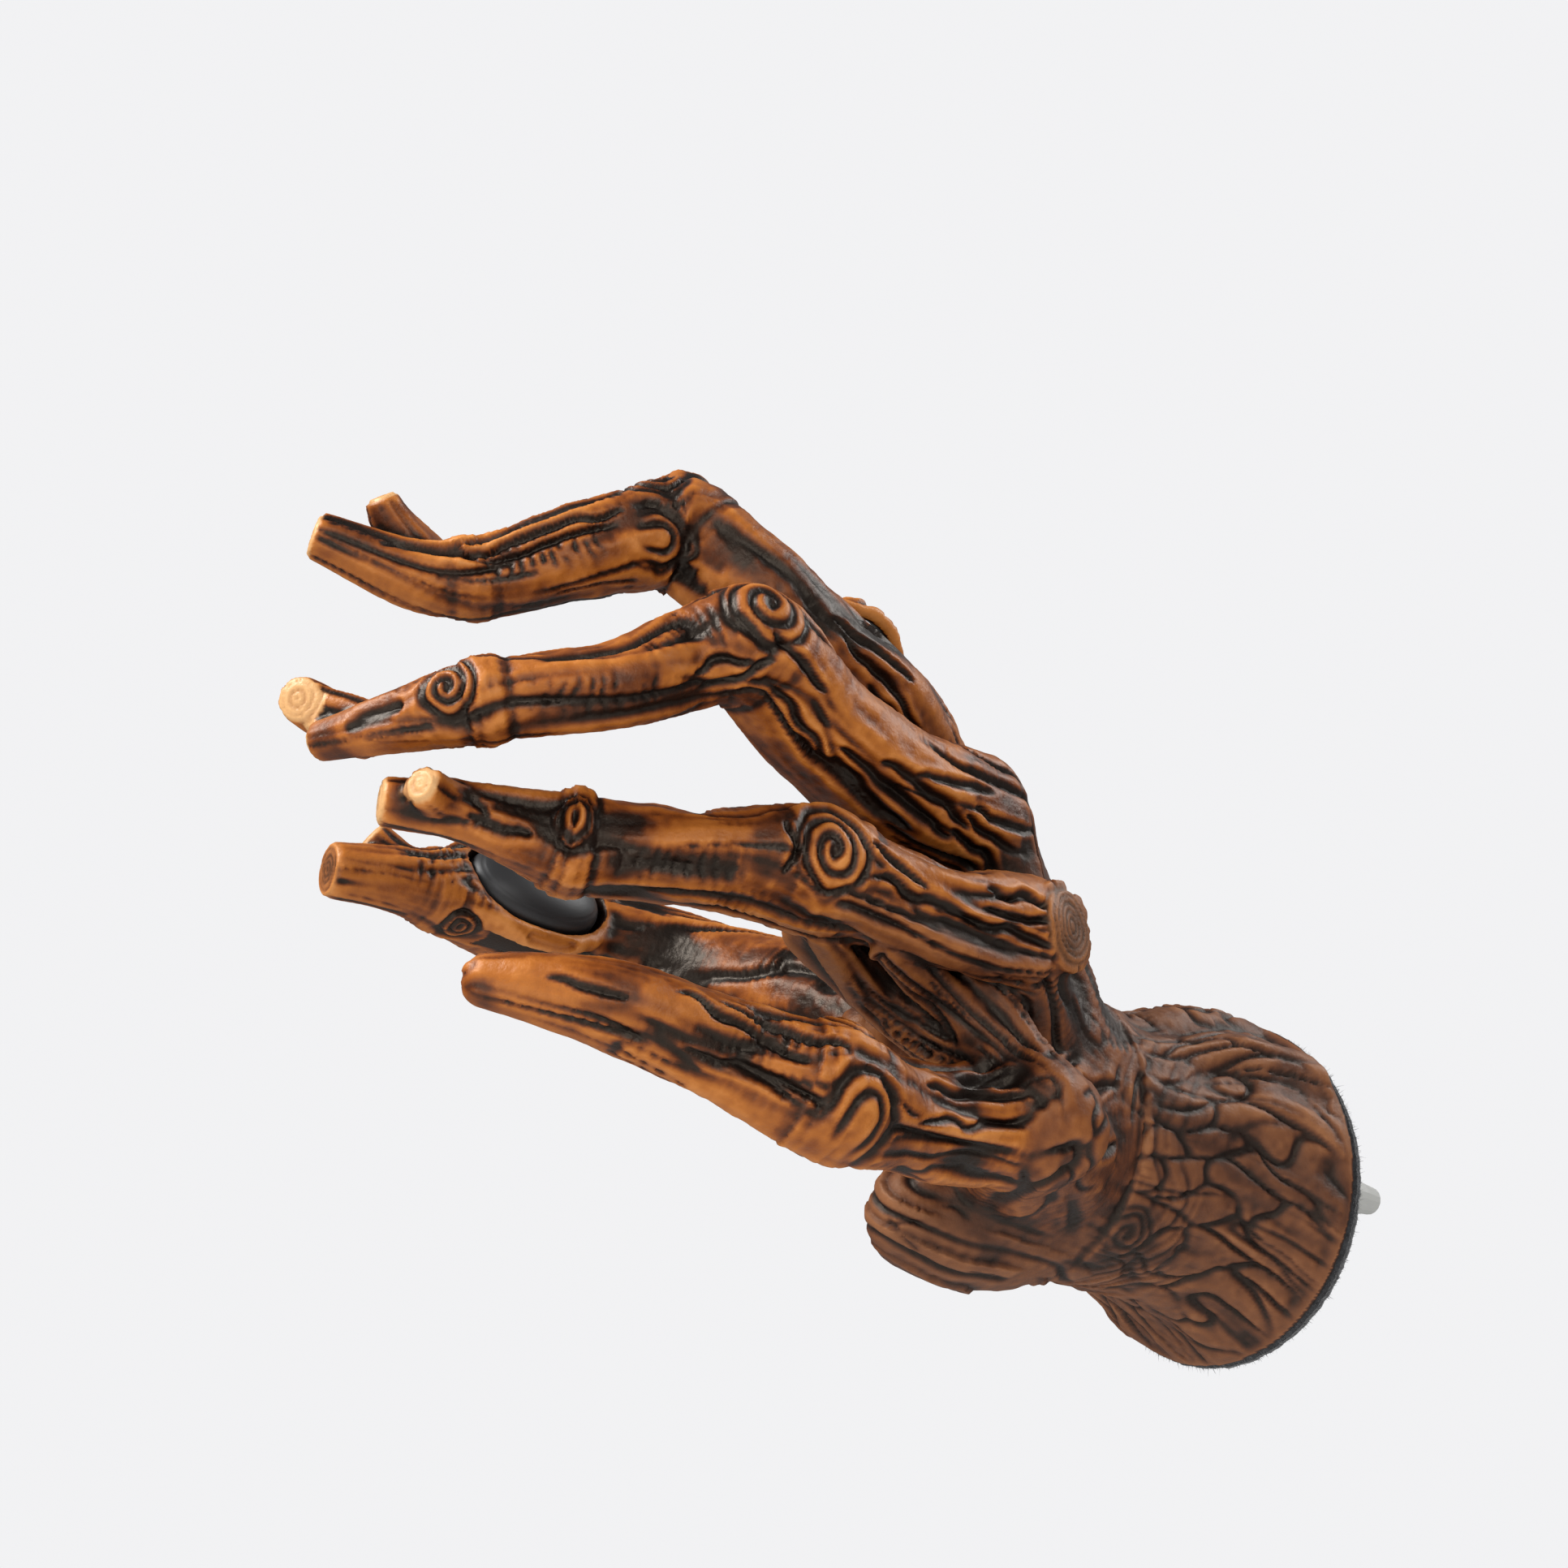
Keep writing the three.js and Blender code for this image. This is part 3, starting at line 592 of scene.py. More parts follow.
def knots_on(limb, points):
    """Height and darkness of a limb's knots, how far the grain swerves round them, and where grain shows."""
    height, dark, swerve, flat = np.zeros((4, len(points)))
    grain = np.ones(len(points))
    for order, knot in enumerate(k for k in KNOTS if k.limb == limb.name):
        du, dv, near = local(limb, knot.at, knot.turn, points, 1.3 * knot.size + 1)
        du = du / knot.stretch
        a, b = du, dv
        if knot.legs is not None:
            a, b = turned(du, dv, knot.legs)
            a = np.where(a > 0, 0.35 * a, a)
        wobble = 1 + 0.12 * noise(du / 3, dv / 3, flat, 40 + order)
        rho = np.sqrt(a**2 + b**2) / knot.size * wobble
        spin = np.arctan2(dv, du)
        inside = near * (1 - smooth(rho, 0.95, 1.2))
        if knot.legs is not None:
            open_side = 1 - smooth(a, 0.05 * knot.size, 0.40 * knot.size)
            inside = inside * open_side
            near = near * open_side
        height += knot.bulge * hump(rho, 1.05) * near
        phase = rho * knot.rings + knot.swirl * spin / (2 * np.pi)
        ring = hump(rounded(phase), 0.20) * smooth(rho, 0.05, 0.2)
        height -= 0.75 * ring * inside
        dark = np.maximum(dark, 0.95 * ring * inside)
        rim = hump(rho - 1.12, 0.10) * near
        height -= 0.5 * rim
        dark = np.maximum(dark, 0.6 * rim)
        if knot.eye:
            slit = near * np.exp(-((du / (0.13 * knot.size)) ** 2) - (dv / (0.28 * knot.size)) ** 2)
            height -= knot.eye * slit
            dark = np.maximum(dark, slit)
        swerve -= near * np.where(rho > 1, dv / np.maximum(rho, 1) ** 2, 0) * hump(rho, 2.6)
        grain *= 1 - near * (1 - smooth(rho, 0.95, 1.35))
    return height, dark, swerve, grain


def collars_on(limb, along, height, dark):
    for name, at, half, rise in COLLARS:
        if name == limb.name:
            du = (along - at * limb.length) / half
            height += rise * hump(du, 1)
            lip = hump(np.abs(du) - 1.15, 0.2)
            height -= 0.3 * rise * lip
            dark = np.maximum(dark, 0.45 * lip)
    return height, dark


def cuts_on(limb, points, height, dark):
    flat = np.zeros(len(points))
    for order, (name, at, facing, long, wide, lean) in enumerate(CUTS):
        if name == limb.name:
            du, dv, near = local(limb, at, facing, points, 0.6 * long + 3)
            a, b = turned(du, dv, lean)
            a = a / long
            b = b + 0.7 * noise(du / 4, dv / 6, flat, order)
            taper = wide * np.sqrt(np.clip(1 - a**2, 0.02, 1))
            cut = hump(b, taper) * (1 - smooth(np.abs(a), 0.8, 1.05)) * near
            lip = hump(np.abs(b) - 2.0 * taper, 0.7) * (1 - smooth(np.abs(a), 0.6, 1.0)) * near
            height += 0.25 * lip - (0.6 + 0.5 * wide) * cut
            dark = np.maximum(dark, cut)
    return height, dark


def cracks_on(limb, along, points, height, dark):
    flat = np.zeros(len(points))
    u = along / limb.length
    for order, (name, start, end, facing, spread, soot) in enumerate(CRACKS):
        if name == limb.name:
            du, dv, near = local(limb, (start + end) / 2, facing, points, 8)
            window = smooth(u, start, start + 0.03) * (1 - smooth(u, end - 0.03, end))
            window = window * hump(dv, spread) * near
            step = du / 2.0 + 0.5 * noise(dv / 2.4, du / 3, flat, 60 + order)
            tick = hump(rounded(step), 0.15)
            broken = smooth(noise(dv / 1.4, du / 1.6, flat, 80 + order), -0.5, 0.1)
            height -= window * (0.5 * tick * broken + 0.5 * soot)
            dark = np.maximum(dark, window * np.maximum(tick * broken, soot))
    return height, dark


def branch_relief(limb, along, across, points, seed):
    """Long furrows and rounded sinews of a bare branch, swerving round its knots."""

    def rough(cell, long, which):
        return noise(x / cell, y / cell, along / long, seed + which)

    height, dark, swerve, grain = knots_on(limb, points)
    size = 8.0  # every branch's grain is drawn as if its radius were this, mm
    bend = swerve / size
    x = size * (across[:, 0] - bend * across[:, 1])
    y = size * (across[:, 1] + bend * across[:, 0])
    x = x + 1.7 * rough(8, 19, 0)
    y = y + 1.7 * rough(7, 17, 1)
    height += 0.8 * rough(5.5, 28, 2)
    deep = rough(4.0, 40, 3)
    where = smooth(rough(6, 21, 4), -0.5, 0.15) * grain
    furrow = hump(deep, 0.15) * where
    height += 0.55 * (1 - hump(deep, 0.35)) * grain - 1.0 * furrow
    where = smooth(rough(4, 14, 6), 0.0, 0.5) * grain
    streak = hump(rough(2.1, 30, 5), 0.16) * where
    height -= 0.5 * streak
    height += 0.10 * rough(0.9, 7, 7) * grain
    height += 0.10 * noise(*(points.T / 1.3), seed + 8) + 0.22 * noise(*(points.T / 4.5), seed + 9)
    dark = np.maximum(dark, np.maximum(0.95 * furrow, 0.75 * streak))
    height, dark = collars_on(limb, along, height, dark)
    height, dark = cuts_on(limb, points, height, dark)
    return cracks_on(limb, along, points, height, dark)


def bark_relief(limb, along, across, points, seed):
    """Long rounded bark plates with dark seams between, as on the trunk; smoother towards the wall."""

    def rough(cell, long, which):
        return noise(x / cell, y / cell, along / long, seed + which)

    columns, size = 28, 27
    x, y = size * across.T
    turn = np.arctan2(y, x)
    a = turn / (2 * np.pi) * columns + 0.9 * rough(9, 14, 0)
    b = along / 13 + 0.35 * rough(5, 9, 4)
    column = np.floor(a).astype(np.int64)
    row = np.floor(b).astype(np.int64)
    first = np.full_like(along, 9.0)
    second = np.full_like(along, 9.0)
    tone = np.zeros_like(along)
    for i in (-1, 0, 1):
        for j in (-1, 0, 1):
            ci = np.mod(column + i, columns)
            rj = row + j
            shift = 0.5 * np.mod(ci, 2)
            px = column + i + 0.5 + 0.26 * hashed(ci, rj, 3, seed + 1)
            py = rj + 0.25 + shift + 0.26 * hashed(ci, rj, 5, seed + 2)
            gap = np.sqrt((a - px) ** 2 + (0.62 * (b - py)) ** 2)
            nearer = gap < first
            second = np.where(nearer, first, np.minimum(second, gap))
            tone = np.where(nearer, hashed(ci, rj, 9, seed + 3), tone)
            first = np.where(nearer, gap, first)
    edge = second - first
    broken = 0.15 + 0.85 * smooth(rough(7, 11, 9), -0.35, 0.15)
    broken *= 0.35 + 0.65 * smooth(along, 4, 11)
    seam = hump(edge, 0.085) * broken
    height = 0.6 * smooth(edge, 0.0, 0.5) * broken + 0.22 * tone - 0.7 * seam
    flute = rough(6, 50, 10)
    groove = hump(flute, 0.07) * smooth(rough(8, 20, 11), -0.4, 0.2)
    height += 1.1 * flute - 0.7 * groove
    streak = hump(rough(1.8, 22, 5), 0.14)
    streak = streak * smooth(rough(5, 12, 8), 0.0, 0.6)
    height -= 0.3 * streak
    height += 0.12 * noise(*(points.T / 1.3), seed + 6)
    height += 1.3 * rough(9, 30, 7)
    dent, dent_at = 1.2, 3.9  # a dip low on one side: its depth in mm, its place in radians round the trunk
    height -= dent * np.exp(-((np.mod(turn - dent_at + np.pi, 2 * np.pi) - np.pi) / 0.6) ** 2)
    dark = np.maximum(0.55 * seam, np.maximum(0.35 * streak, 0.55 * groove))
    knot_height, knot_dark, _, grain = knots_on(limb, points)
    return height * (0.3 + 0.7 * grain) + knot_height, np.maximum(dark * grain, knot_dark)


def fold_relief(points, seed, wrap):
    """Soft folds: round the wrist where wrap is 1, along the heel of the hand where it is near 0."""
    x, y, z = points.T
    warp = 5.5 * noise(*(points.T / 19), seed) + 1.6 * noise(x / 8, y / 14, z / 8, seed + 1)
    wave = (wrap * (0.45 * x - y + 0.2 * z) + (1 - wrap) * (0.75 * x + 0.15 * y + 0.9 * z) + warp) / 6.2
    part = rounded(wave)
    broken = smooth(noise(*(points.T / 9), seed + 2), -0.4, 0.3)
    fold = hump(part, 0.10) * broken
    lap = (part + 0.5) * broken
    streak = hump(noise(x / 2.8, y / 15, z / 2.8, seed + 3), 0.12)
    streak = streak * smooth(noise(*(points.T / 8), seed + 6), 0.0, 0.5)
    height = 0.8 * lap - 0.9 * fold - 0.35 * streak + 1.1 * noise(*(points.T / 11), seed + 4)
    height += 0.10 * noise(*(points.T / 1.4), seed + 5)
    return height, np.maximum(0.85 * fold, 0.5 * streak)


def relief_on(limb, along, across, points, order):
    """Height in mm and darkness of the surface of one limb."""
    seed = 100 + 17 * order
    if limb.name == "trunk":
        return bark_relief(limb, along, across, points, seed)
    if limb.name in ("wrist", "heel", "web"):
        return fold_relief(points, seed + 50, 0.1 if limb.name == "heel" else 1.0)
    return branch_relief(limb, along, across, points, seed)


def end_mask(limb, points):
    """1 on a limb's sawn end, and the distance from the middle of that end."""
    offset = points - limb.points[-1]
    ahead = offset @ limb.tangent[-1]
    flat = np.linalg.norm(offset - ahead[:, None] * limb.tangent[-1], axis=1)
    mask = smooth(ahead, -0.9, -0.35) * (flat < limb.radii[-1] + 1.2) * (ahead < 2)
    return mask, flat


def quiet_zone(points, trunk):
    """0 on the back, in the pocket and in the pads' cups, 1 elsewhere: relief stays off mating faces."""
    keep = smooth(-points[:, 1], -BACK_Y + 0.2, -BACK_Y + 3.0)
    radial = np.hypot(points[:, 0], points[:, 2])
    inside = trunk.gap(*points.T)[0] < -1.1
    pocket = inside & (radial < POCKET_R + 1.0) & (points[:, 1] > HOOK_CAVITY[1][0] - 1.0)
    keep = np.where(pocket, 0, keep)
    for pad in PADS:
        rim, h = pad.local(points[:, 0], points[:, 1], points[:, 2])
        cup = (1 - smooth(rim, 0.6, 2.6)) * (np.abs(h) < 9)
        keep = keep * (1 - cup)
    return keep


def sculpt(limbs):
    """The whole hand as one carved skin, with the masks that colour it and the piece each vertex is in."""
    field, solid = build_field(limbs)
    points, quads = skin_of(field, solid)
    skin = Skin(points, quads)
    skin.points = skin.smoothed(skin.points, 3)
    normals = skin.normals()
    height, dark, bark, weight, tip, flat_end, ring = np.zeros((7, len(points)))
    gaps = {}
    for order, (name, limb) in enumerate(limbs.items()):
        gap, along, across = limb.coordinates(skin.points)
        gaps[name] = gap
        near = np.nonzero(gap < SKIN_REACH)[0]
        h, d = relief_on(limb, along[near], across[near], skin.points[near], order)
        w = np.exp(-np.maximum(gap[near] + 0.2, 0) / 0.55)
        height[near] += w * h
        dark[near] += w * d
        bark[near] += w * (1.0 if name in ("trunk", "wrist", "heel") else 0.55 if name in PALM_LIMBS else 0.0)
        weight[near] += w
        if name in SAWN:
            mask, flat = end_mask(limb, skin.points)
            mask = mask * (gap < 1.5)
            flat_end = np.maximum(flat_end, mask)
            tip = np.maximum(tip, mask * (0.15 if name in WOODY_ENDS else 1))
            wave = flat / 1.25 + 0.25 * noise(*(skin.points.T / 2.5), seed=order)
            ring = np.maximum(ring, mask * hump(rounded(wave), 0.2))
    weight = np.maximum(weight, 1e-9)
    height, dark, bark = height / weight, dark / weight, bark / weight
    small = radius_share(gaps, limbs, skin.points)
    height = height * small
    height = np.where(flat_end > 0, height * (1 - flat_end) - 0.25 * ring, height)
    dark = dark * (1 - 0.9 * flat_end) + 0.4 * ring
    keep = quiet_zone(skin.points, limbs["trunk"])
    height = height * keep
    dark = dark * keep
    skin.points = skin.points + normals * height[:, None]
    owner = owners(gaps, skin.points)
    return skin, dark, bark, tip, keep, owner


def radius_share(gaps, limbs, points):
    """Relief is shallower on thin twigs: the share of full depth at each vertex."""
    nearest = np.full(len(points), 1e9)
    share = np.ones(len(points))
    for name, limb in limbs.items():
        closer = gaps[name] < nearest
        thin = np.ones(len(points))
        if name != "trunk" and name not in PALM_LIMBS:
            distance = np.linalg.norm(points - limb.points[-1], axis=1)
            thin = 0.35 + 0.65 * smooth(distance, 4, 26)
        share = np.where(closer, thin, share)
        nearest = np.minimum(nearest, gaps[name])
    return share


def owners(gaps, points):
    """The index in PIECES of the casting that each vertex belongs to."""
    palm = np.min([gaps[name] for name in PALM_LIMBS], axis=0)
    choices = [np.full(len(points), 1e6), palm]
    for digit in PIECES[2:]:
        choices.append(np.min([gaps[name] for name in gaps if name.startswith(digit)], axis=0))
    owner = np.argmin(np.stack(choices), axis=0)
    return np.where(points[:, 1] > TRUNK_TOP_Y, 0, owner)


# ---------------- mesh and material helpers
def put_in_scene(name, data):
    obj = bpy.data.objects.new(name, data)
    bpy.context.scene.collection.objects.link(obj)
    return obj


def new_object(name, vertices, faces, material, smooth_shading=True):
    mesh = bpy.data.meshes.new(name)
    mesh.from_pydata([tuple(v) for v in vertices], [], [tuple(f) for f in faces])
    mesh.update()
    mesh.polygons.foreach_set("use_smooth", [smooth_shading] * len(mesh.polygons))
    mesh.materials.append(material)
    return put_in_scene(name, mesh)


def set_attribute(mesh, name, values):
    attribute = mesh.attributes.new(name, "FLOAT", "POINT")
    attribute.data.foreach_set("value", values.astype(np.float32))


class Shader:
    """Short names for building one material's nodes."""

    def __init__(self, name, base, roughness, metallic=0.0):
        self.material = bpy.data.materials.new(name)
        self.material.use_nodes = True
        self.tree = self.material.node_tree
        self.surface({"Base Color": (*base, 1), "Roughness": roughness, "Metallic": metallic})

    def feed(self, inputs, values):
        """Sets inputs, by name or number, to values or to the outputs of other nodes."""
        for key, value in values.items():
            if isinstance(value, bpy.types.NodeSocket):
                self.tree.links.new(value, inputs[key])
            else:
                inputs[key].default_value = value

    def surface(self, values):
        self.feed(self.tree.nodes["Principled BSDF"].inputs, values)

    def node(self, kind, values, output=0, **settings):
        """One output of a new node."""
        node = self.tree.nodes.new("ShaderNode" + kind)
        for key, value in settings.items():
            setattr(node, key, value)
        self.feed(node.inputs, values)
        return node.outputs[output]

    def attribute(self, name):
        return self.node("Attribute", {}, "Fac", attribute_name=name)

    def noise(self, scale, detail=4.0, stretch=(1, 1, 1)):
        place = self.node("TexCoord", {}, "Object")
        place = self.node("Mapping", {"Vector": place, "Scale": stretch})
        return self.node("TexNoise", {"Vector": place, "Scale": scale, "Detail": detail}, "Fac")

    def math(self, operation, a, b, clamp=False):
        return self.node("Math", {0: a, 1: b}, operation=operation, use_clamp=clamp)

    def ramp(self, value, stops):
        colour = self.node("ValToRGB", {"Fac": value}, "Color")
        elements = colour.node.color_ramp.elements
        while len(elements) < len(stops):
            elements.new(0.5)
        for element, (place, paint) in zip(elements, stops):
            element.position = place
            element.color = (*paint, 1)
        return colour

    def mix(self, share, a, b):
        return self.node("Mix", {0: share, 6: a, 7: b}, 2, data_type="RGBA")

    def bump(self, height, strength, distance):
        values = {"Height": height, "Strength": strength, "Distance": distance}
        self.surface({"Normal": self.node("Bump", values, "Normal")})


def casting_material():
    """Painted resin: near-black glaze in grooves, painted shade in hollows, brown stain, worn orange ridges,
    tan sawn ends.
    """
    s = Shader("painted_branch", (0.2, 0.08, 0.03), 0.38)
    mottle = s.noise(260, 5)
    cloud = s.noise(45, 3)
    tone = s.math("ADD", s.attribute("tone"), s.math("MULTIPLY", s.math("SUBTRACT", mottle, 0.5), 0.30))
    tone = s.math("ADD", tone, s.math("MULTIPLY", s.math("SUBTRACT", cloud, 0.5), 0.35), clamp=True)
    branch = s.ramp(tone, [
        (0.00, (0.0035, 0.0016, 0.0012)), (0.25, (0.014, 0.0036, 0.0014)),
        (0.45, (0.075, 0.0165, 0.0035)), (0.64, (0.190, 0.0480, 0.0070)),
        (0.84, (0.350, 0.1080, 0.0160)), (1.00, (0.520, 0.1950, 0.0450)),
    ])
    trunk = s.ramp(tone, [
        (0.00, (0.0080, 0.0045, 0.0040)), (0.25, (0.030, 0.0120, 0.0080)),
        (0.50, (0.080, 0.0280, 0.0140)), (0.75, (0.150, 0.0540, 0.0220)),
        (1.00, (0.260, 0.1050, 0.0420)),
    ])
    colour = s.mix(s.attribute("bark"), branch, trunk)
    wood = s.ramp(s.math("ADD", tone, 0.1, clamp=True), [
        (0.0, (0.10, 0.035, 0.012)), (0.4, (0.30, 0.130, 0.045)),
        (1.0, (0.56, 0.310, 0.130)),
    ])
    colour = s.mix(s.attribute("tip"), colour, wood)
    rough = s.math("MULTIPLY", s.attribute("bark"), 0.12)
    rough = s.math("ADD", rough, s.math("MULTIPLY", mottle, 0.30))
    rough = s.math("ADD", rough, 0.28, clamp=True)
    s.surface({"Base Color": colour, "Roughness": rough})
    s.surface({"Specular IOR Level": 0.30, "Specular Tint": (1.0, 0.84, 0.68, 1)})
    s.bump(s.noise(1500, 6), 0.35, 0.0003)
    return s.material


def rubber_material():
    s = Shader("black_rubber", (0.012, 0.012, 0.013), 0.45)
    s.bump(s.noise(2200, 4), 0.12, 0.0001)
    return s.material


def felt_material():
    s = Shader("black_felt", (0.010, 0.011, 0.012), 0.95)
    colour = s.ramp(s.noise(900, 6), [(0.3, (0.004, 0.004, 0.005)), (0.75, (0.035, 0.036, 0.04))])
    s.surface({"Base Color": colour, "Sheen Weight": 0.4})
    s.bump(s.noise(2500, 8), 0.8, 0.0004)
    return s.material


def metal_material(name, base, roughness, brush=(1, 1, 1)):
    s = Shader(name, base, roughness, 1.0)
    grain = s.noise(700, 5, brush)
    spread = s.math("ADD", s.math("MULTIPLY", grain, 0.18), roughness - 0.09, clamp=True)
    s.surface({"Roughness": spread})
    s.bump(grain, 0.06, 0.0001)
    return s.material


def plastic_material():
    s = Shader("grey_nylon", (0.42, 0.42, 0.40), 0.5)
    s.bump(s.noise(1200, 4), 0.1, 0.0001)
    return s.material


# ---------------- pieces
def split_skin(skin, owner, attributes, material):
    """One object for each casting, cut from the skin where two castings meet."""
    normals = skin.normals()
    face_owner = owner[skin.quads[:, 0]]
    for index, name in enumerate(PIECES):
        faces = skin.quads[face_owner == index]
        used, compact = np.unique(faces, return_inverse=True)
        faces = compact.reshape(faces.shape)
        obj = new_object(name + "_bark", skin.points[used] * MM, faces, material)
        for key, values in attributes.items():
            set_attribute(obj.data, key, values[used])
        obj.data.normals_split_custom_set_from_vertices([tuple(n) for n in normals[used]])
        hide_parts(name + "_casting")
        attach(obj, "hand")


def tone_of(skin, dark, bark, tip):
    """How light the paint is: dark glaze in what is carved in, worn light on what stands out, painted shade
    in broad hollows.
    """
    normals = skin.normals()
    rounds = (0.5 / VOXEL) ** 2
    fine = np.sum((skin.smoothed(skin.points, round(6 * rounds) + 1) - skin.points) * normals, axis=1)
    broad = np.sum((skin.smoothed(skin.points, round(60 * rounds)) - skin.points) * normals, axis=1)
    x, y, z = skin.points.T
    patch = noise(x / 9, y / 13, z / 9, 31) + 0.5 * noise(x / 4, y / 6, z / 4, 32)
    # broad hollows between limbs: a dark wash, deepened further as painted shade where they curve in
    hollow_wash_and_painted_shade = np.where(broad > 0, 0.62, 0.34) * broad
    tone = 0.60 - 1.5 * fine - hollow_wash_and_painted_shade - 0.70 * dark - 0.34 * smooth(patch, 0.0, 0.8)
    knee = 0.66  # above this, light tones are pressed together
    room = 1 - knee
    tone = np.where(tone > knee, knee + room * (1 - np.exp(-(tone - knee) / room)), tone)
    tone = skin.smoothed(tone, 1)
    palm = hump(bark - 0.55, 0.25)
    return np.clip(tone + 0.25 * tip - 0.10 * palm, 0, 1)


def make_castings():
    limbs = {name: Limb(name) for name in LIMBS}
    limbs["trunk"] = Trunk()
    skin, dark, bark, tip, keep, owner = sculpt(limbs)
    tone = tone_of(skin, dark, bark, tip)
    tone = np.where(keep < 0.05, np.minimum(tone, 0.12), tone)
    attributes = {"tone": tone, "bark": np.clip(bark, 0, 1), "tip": tip}
    split_skin(skin, owner, attributes, casting_material())


def make_pad(pad, material):
    """The dome with a softly rounded foot and a faint mould line round it."""
    around = 128
    profile = [(0.985, -pad.foot), (1.0, -pad.foot + 0.3)]
    rings = 40
    for i in range(rings + 1):
        a = i / rings * math.pi / 2
        line = 0.07 * math.exp(-(((i / rings - 0.30) / 0.012) ** 2))
        profile.append((math.cos(a) - line / pad.half_high, pad.rise * math.sin(a) ** 0.92))
    vertices = []
    for share, rise in profile[:-1]:
        for j in range(around):
            turn = 2 * math.pi * j / around
            p = pad.at + pad.along * pad.half_long * share * math.cos(turn)
            p = p + pad.across * pad.half_high * share * math.sin(turn) + pad.n * rise
            vertices.append(p * MM)
    vertices.append((pad.at + pad.n * pad.rise) * MM)
    faces = []
    rows = len(profile) - 1
    for i in range(rows - 1):
        for j in range(around):
            k = (j + 1) % around
            faces.append((i * around + j, i * around + k, (i + 1) * around + k, (i + 1) * around + j))
    for j in range(around):
        faces.append(((rows - 1) * around + j, (rows - 1) * around + (j + 1) % around, rows * around))
    faces.append(tuple(reversed(range(around))))
    obj = new_object(pad.name, vertices, faces, material)
    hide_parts(pad.node)
    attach(obj, "hand")


def make_felt(material):
    """The felt ring behind the trunk, with a frayed outer edge and a fuzz of short fibres."""
    low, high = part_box("felt_ring")
    outer = (high.x - low.x) / 2 / MM
    inner = POCKET_R + 0.3
    thick = (high.y - low.y) / MM
    around = 720
    rng = np.random.default_rng(5)
    fray = np.convolve(rng.normal(0, 1, around), np.ones(5) / 5, "same") * 0.16
    levels = [
        (inner, 0.0), (inner, -thick), (outer - 0.6, -thick),
        (outer, -thick * 0.7), (outer, -thick * 0.3), (outer - 0.3, 0.0),
    ]
    vertices = []
    for j in range(around):
        turn = 2 * math.pi * j / around
        for k, (r, y) in enumerate(levels):
            r = r + (fray[j] if k in (2, 3, 4, 5) else 0)
            vertices.append((r * math.cos(turn) * MM, y * MM, r * math.sin(turn) * MM))
    faces = []
    n = len(levels)
    for j in range(around):
        m = (j + 1) % around
        for k in range(n):
            k2 = (k + 1) % n
            faces.append((j * n + k, m * n + k, m * n + k2, j * n + k2))
    for _ in range(FELT_FIBRES):
        turn = rng.uniform(0, 2 * math.pi)
        out = np.array([math.cos(turn), 0, math.sin(turn)])
        start = out * (outer - 0.2) + (0, rng.uniform(-thick, -0.1), 0)
        lean = rng.normal(0, 0.7, 3) * (1, 0.35, 1)
        length = rng.uniform(0.35, 1.0)
        end = start + (out + lean) * length * 0.7
        end[1] = min(max(end[1], -thick), -0.02)
        wide = np.cross(end - start, out + (0.3, 0.5, 0.1))
        wide = wide / max(np.linalg.norm(wide), 1e-6) * 0.05
        base = len(vertices)
        for p in (start - wide, start + wide, end):
            vertices.append(tuple(p * MM))
        faces.append((base, base + 1, base + 2))
    obj = new_object("felt_ring_cloth", vertices, faces, material, False)
    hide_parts("felt_ring")
    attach(obj, "hand")


# ---------------- stage
def make_stage(floor_z):
    half = 3.0
    corners = [(-half, -half, floor_z), (half, -half, floor_z), (half, half, floor_z), (-half, half, floor_z)]
    paint = Shader("floor_paint", (0.86, 0.86, 0.86), 0.7)
    floor = new_object("floor", corners, [(0, 1, 2, 3)], paint.material)


def make_light(name, place, target, size, power):
    light = bpy.data.lights.new(name, "AREA")
    light.shape = "DISK"
    light.size = size
    light.energy = power
    obj = put_in_scene(name, light)
    obj.location = place
    obj.rotation_euler = (Vector(target) - Vector(place)).to_track_quat("-Z", "Y").to_euler()


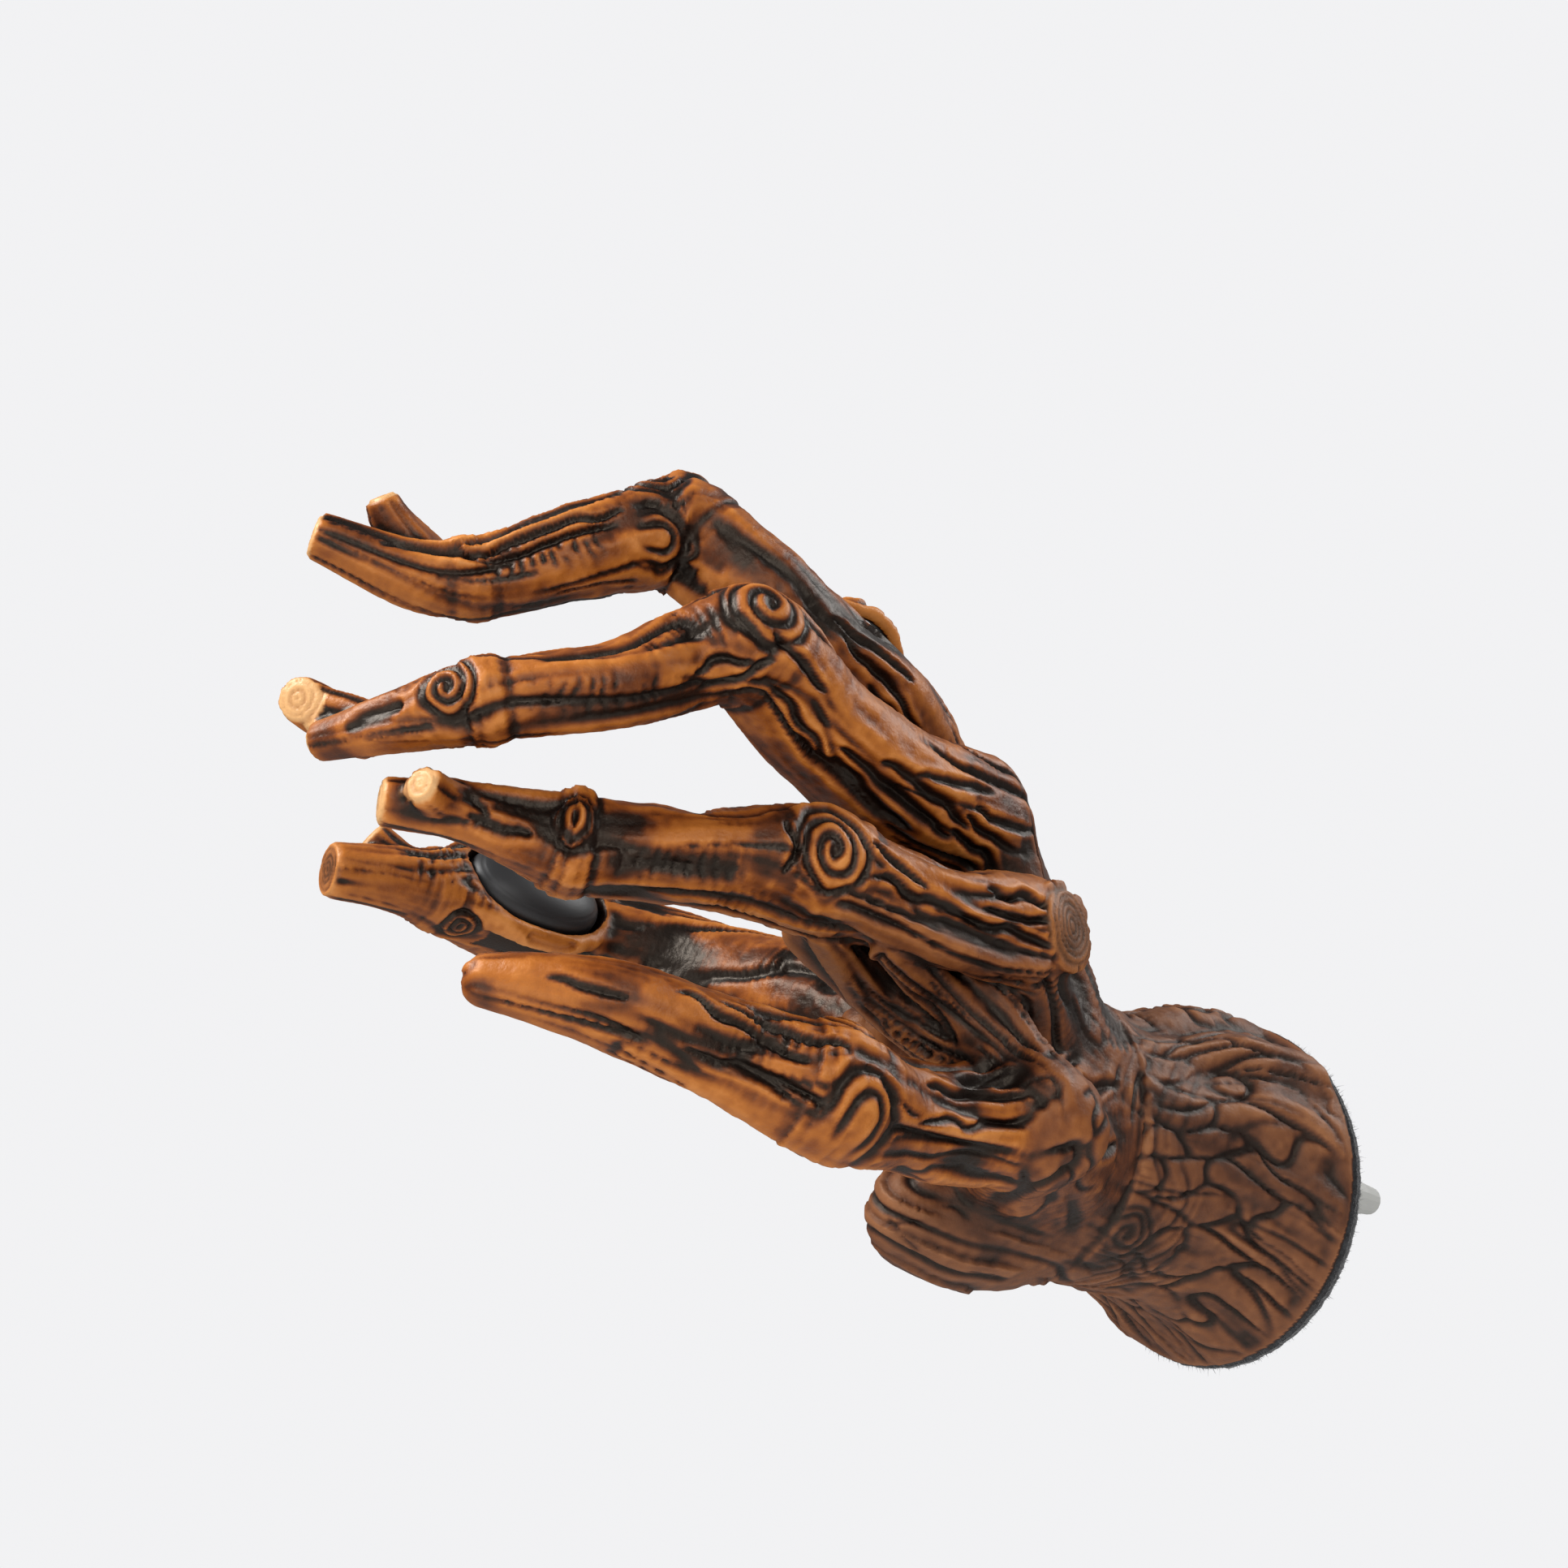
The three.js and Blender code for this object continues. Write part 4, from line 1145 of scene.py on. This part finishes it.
def make_world(seen, lit):
    """A white surround: one brightness for the background, a lower one for the light it gives."""
    world = bpy.data.worlds.new("room_light")
    world.use_nodes = True
    tree = world.node_tree
    around = tree.nodes["Background"]
    around.inputs["Color"].default_value = (1.0, 1.0, 1.0, 1)
    around.inputs["Strength"].default_value = lit
    behind = tree.nodes.new("ShaderNodeBackground")
    behind.inputs["Color"].default_value = (0.985, 0.985, 1.0, 1)
    behind.inputs["Strength"].default_value = seen
    path = tree.nodes.new("ShaderNodeLightPath")
    mix = tree.nodes.new("ShaderNodeMixShader")
    tree.links.new(path.outputs["Is Camera Ray"], mix.inputs[0])
    tree.links.new(around.outputs[0], mix.inputs[1])
    tree.links.new(behind.outputs[0], mix.inputs[2])
    tree.links.new(mix.outputs[0], tree.nodes["World Output"].inputs["Surface"])
    bpy.context.scene.world = world
    bpy.context.scene.view_settings.view_transform = "Standard"


def make_camera():
    """Below, in front and to the right of the hand, looking up at it."""
    camera = bpy.data.cameras.new("camera")
    camera.lens = 49.4
    camera.sensor_width = 36
    camera.clip_start = 0.01
    camera.clip_end = 20
    obj = put_in_scene("camera", camera)
    obj.location = (0.2490, -0.3062, -0.1265)
    obj.rotation_euler = Euler((math.radians(90 + 29.01), 0, math.radians(51.05)), "XYZ")
    bpy.context.scene.camera = obj


make_castings()
rubber = rubber_material()
for pad in PADS:
    make_pad(pad, rubber)
make_felt(felt_material())

steel = metal_material("zinc_steel", (0.55, 0.55, 0.57), 0.36)
bright = metal_material("bright_screw", (0.66, 0.66, 0.68), 0.28)
brass = metal_material("brass_yellow", (0.70, 0.50, 0.19), 0.3)
nylon = plastic_material()
for node_name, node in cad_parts.items():
    if node_name.startswith("brass"):
        paint = brass
    elif node_name.startswith("wall_anchor"):
        paint = nylon
    elif "screw" in node_name:
        paint = bright
    else:
        paint = steel
    node.data.materials.clear()
    node.data.materials.append(paint)

centre = Vector((-0.01, -0.10, 0.03))
make_stage(-0.42)
make_light("key", (-0.10, -0.85, 0.60), centre, 0.40, 13)
make_light("fill", (0.80, -0.45, 0.10), centre, 0.6, 4)
make_light("under", (0.1, -0.6, -0.35), centre, 0.5, 1.5)
make_light("back", (0.35, 0.45, 0.6), centre, 0.5, 4)
make_world(0.9, 0.22)
make_camera()
